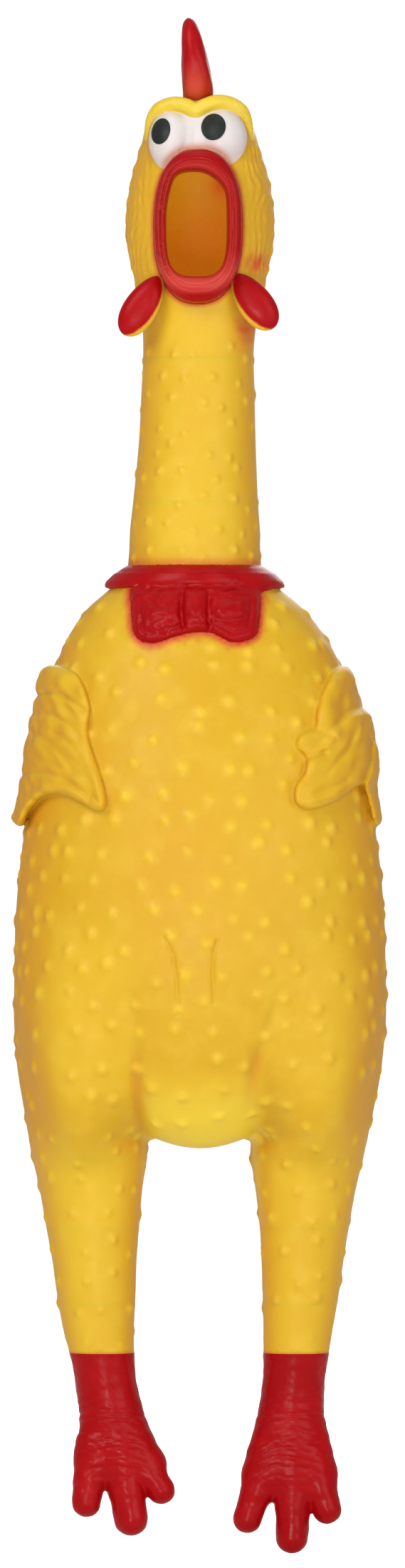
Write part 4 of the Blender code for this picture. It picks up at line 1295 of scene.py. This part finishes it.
def eye_dust(p, _normals):
    """Orange on the white where it meets the lips and the skin."""
    outer, _ = beak_band(p[:, 0], p[:, 2])
    return np.maximum(0.85 * fade(outer, 2.6, 0.2), 0.22 * fade(eye_area(p), -1.6, 0.0))


def lining_shade(p, _normals):
    """Painted shade: the throat is darker low down and to the chicken's left."""
    return 0.95 * fade(p[:, 2] - 0.5 * p[:, 0], 197.0, 176.0)


def lining_smear(p):
    """Red paint that ran in over the upper lip."""
    smear = blot(p, (6.0, 191.6), (3.0, 3.4))
    return np.clip(smear * (0.85 + 0.25 * wave_noise(p, 5.0, 53)), 0, 1)


def throat_area(p):
    """The wall of the hollow behind the lips."""
    deep = trunk(p) + WALL
    return np.maximum(-0.55 - deep, deep - 0.3)


def lips_area(p):
    """The painted ring, both outside and where it turns in to the mouth."""
    return np.minimum(beak(p) - 0.25, np.maximum(cavity(p) - 0.3, p[:, 1] + 13))


def head_pieces():
    """The head from the throat up, without the comb and the wattles."""
    patch = meshed(skin, (-24.0, -30.0, 142.0), (24.0, 23.0, 218.0), 0.55)
    patch = cut_at(patch, NECK_SEAMS[2], skin)[1]

    throat, patch = cut(patch, throat_area(patch.p), skin)
    obj = piece(
        "mouth_lining", throat, skin, lining, depth=0.5, spray_and_shade=lining_shade,
        pale=lining_smear,
    )
    bend(obj, "neck_upper", "head", 2, *NECK_BENDS[2])

    ring, patch = cut(patch, lips_area(patch.p), skin)
    obj = piece("beak_lips", ring, skin, red, ["beak"], depth=0.7, pale=thin_on_lips)
    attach(obj, "head")
    ridge, patch = cut(patch, brow(patch.p) - 0.3, skin)
    obj = piece("brow_ridge_relief", ridge, skin, lemon, ["brow_ridge"], depth=0.7)
    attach(obj, "head")
    both, patch = cut(patch, np.maximum(eye_area(patch.p), patch.p[:, 1] + 6.0), skin)
    halves = cut(both, both.p[:, 0] - EYE_SEAM, skin, hold=0)
    for name, ball in zip(EYES, halves):
        pupil_name = name.replace("eye", "pupil")
        place, size, lean = PUPILS[pupil_name]
        disc, ball = cut(ball, oval(ball.p[:, 0], ball.p[:, 2], place, size, lean), skin)
        ball = piece(f"{name}_white", ball, skin, white, [name], depth=0.7, spray_and_shade=eye_dust)
        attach(ball, "head")
        disc = piece(
            f"{name}_black", disc, skin, black, [pupil_name], depth=0.7, lift=PUPIL_PAINT,
        )
        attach(disc, "head")
    obj = piece(
        "head_skin", patch, skin, yellow, ["throat_flex", "head_shell"], depth=0.75,
        spray_and_shade=face_dust,
    )
    bend(obj, "neck_upper", "head", 2, *NECK_BENDS[2])


def comb_dust(p, _normals):
    """The red is thin at the comb's foot, and the yellow shows through."""
    return 0.07 * fade(p[:, 2], 222.0, 213.0)


def comb_and_wattles():
    """The red pieces that move on the head. The backs of the wattles are bare yellow vinyl."""
    patch = meshed(comb, (-9.0, -17.0, 206.5), (8.0, 22.0, 238.0), 0.5, share=0.7)
    obj = piece(
        "comb_fin", patch, comb, red, ["comb", "comb_flex"], depth=0.8, spray_and_shade=comb_dust,
        pale=thin_on_comb,
    )
    bend(obj, "head", "comb", 2, *COMB_BEND)
    for name, (centre, radii, lean) in WATTLES.items():
        def shape(p, name=name):
            return wattle(name, p)

        def bare(p, _normals, centre=centre, radii=radii, lean=lean):
            side = math.copysign(1.0, centre[0])
            place = (centre[0] + side * 0.75, centre[2] + 0.35)
            edge = oval(p[:, 0], p[:, 2], place, (radii[0], radii[2]), lean)
            return np.maximum(fade(edge, -0.15, 0.25), fade(p[:, 1] - centre[1], 1.0, 1.8))

        reach = radii[2] + 3
        low = [c - r for c, r in zip(centre, (reach, 5.0, reach))]
        high = [c + r for c, r in zip(centre, (reach, 5.0, reach))]
        patch = meshed(shape, low, high, 0.45)
        obj = piece(
            f"{name}_lobe", patch, shape, red, [name], depth=0.8, spray_and_shade=bare, pale=even,
        )
        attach(obj, name)


def squeaker():
    """The squeaker inside keeps its CAD shape."""
    cream = plastic(
        "squeaker_plastic", (0.78, 0.76, 0.68), (0.70, 0.67, 0.58), (0.84, 0.83, 0.78), roughness=0.34,
    )
    brass = plastic(
        "reed_metal", (0.74, 0.72, 0.66), (0.62, 0.59, 0.50), (0.82, 0.81, 0.78), roughness=0.26,
        metallic=1.0,
    )
    for name, material in (
        ("squeaker_barrel", cream), ("squeaker_cap", cream), ("reed_seat", cream), ("reed", brass),
    ):
        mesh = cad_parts[name].data
        mesh.materials.clear()
        mesh.materials.append(material)


# ---------------------------------------------------------------- studio

WHITE = (1.0, 1.0, 1.0, 1.0)
FLOOR_LEVEL = -0.1665
FLOOR_HALF = 40.0


def floor():
    """A pale floor just under the feet. The camera sees it brighter, so that it ends in white."""
    made, tree, shader = nodes_of("pale_floor")
    place = object_place(tree)
    shade = mixed(tree, noise(tree, place, 3.0, 2.0), (0.86, 0.86, 0.86), (0.90, 0.90, 0.90))
    put(tree, shader.inputs["Base Color"], shade)
    put(tree, shader.inputs["Roughness"], 0.9)
    glow = add(tree, "ShaderNodeEmission", Color=WHITE, Strength=0.8)
    brighter = add(tree, "ShaderNodeAddShader", shader.outputs[0], glow.outputs[0])
    for_camera(tree, "Material Output", shader, brighter)
    mesh = bpy.data.meshes.new("floor")
    corners = ((-1, -1), (1, -1), (1, 1), (-1, 1))
    points = [(x * FLOOR_HALF, y * FLOOR_HALF, FLOOR_LEVEL) for x, y in corners]
    mesh.from_pydata(points, [], [(0, 1, 2, 3)])
    mesh.materials.append(made)
    obj = placed("floor", mesh)


# Each round softbox, in metres and watts: place, what it points at, size, power
CHICKEN = (0.0, 0.0, 0.04)
LIGHTS = {
    "key": ((-0.7, -1.1, 0.8), CHICKEN, 0.8, 9.1),
    "fill": ((0.8, -1.1, 0.3), CHICKEN, 0.9, 5.1),
    "low": ((-0.1, -1.3, -0.1), (0.0, 0.0, -0.08), 0.25, 4.3),
    "top": ((0.0, -0.1, 1.3), CHICKEN, 0.8, 2.0),
    "back": ((0.2, 1.3, 0.6), CHICKEN, 0.9, 4.5),
}
WORLD_LIGHT = 0.37
WORLD_SEEN = 1.05


def area_light(name, place, target, size, power):
    light = bpy.data.lights.new(name, "AREA")
    light.shape = "DISK"
    light.size = size
    light.energy = power
    obj = placed(name, light)
    obj.location = place
    obj.rotation_euler = (Vector(target) - Vector(place)).to_track_quat("-Z", "Y").to_euler()


def studio():
    """Softboxes and a white surround, which a camera sees brighter than it shines."""
    for name, settings in LIGHTS.items():
        area_light(name, *settings)
    world = bpy.data.worlds.new("studio")
    bpy.context.scene.world = world
    world.use_nodes = True
    tree = world.node_tree
    lit = tree.nodes["Background"]
    put(tree, lit.inputs["Color"], WHITE)
    put(tree, lit.inputs["Strength"], WORLD_LIGHT)
    seen = add(tree, "ShaderNodeBackground", Color=WHITE, Strength=WORLD_SEEN)
    for_camera(tree, "World Output", lit, seen)
    bpy.context.scene.view_settings.view_transform = "Standard"


def camera():
    """A long lens straight in front, whose picture is 408.4 mm high at the chicken's middle."""
    lens, sensor, height = 300.0, 36.0, 0.4084
    data = bpy.data.cameras.new("camera")
    data.lens = lens
    data.sensor_width = sensor
    data.clip_end = 100.0
    obj = placed("camera", data)
    obj.location = (0.00065, -height * lens / sensor, 0.0353)
    obj.rotation_euler = (math.radians(90), 0, 0)
    bpy.context.scene.camera = obj


camera()
studio()
floor()
body_pieces()
neck_pieces()
leg_pieces()
foot_pieces()
head_pieces()
comb_and_wattles()
squeaker()
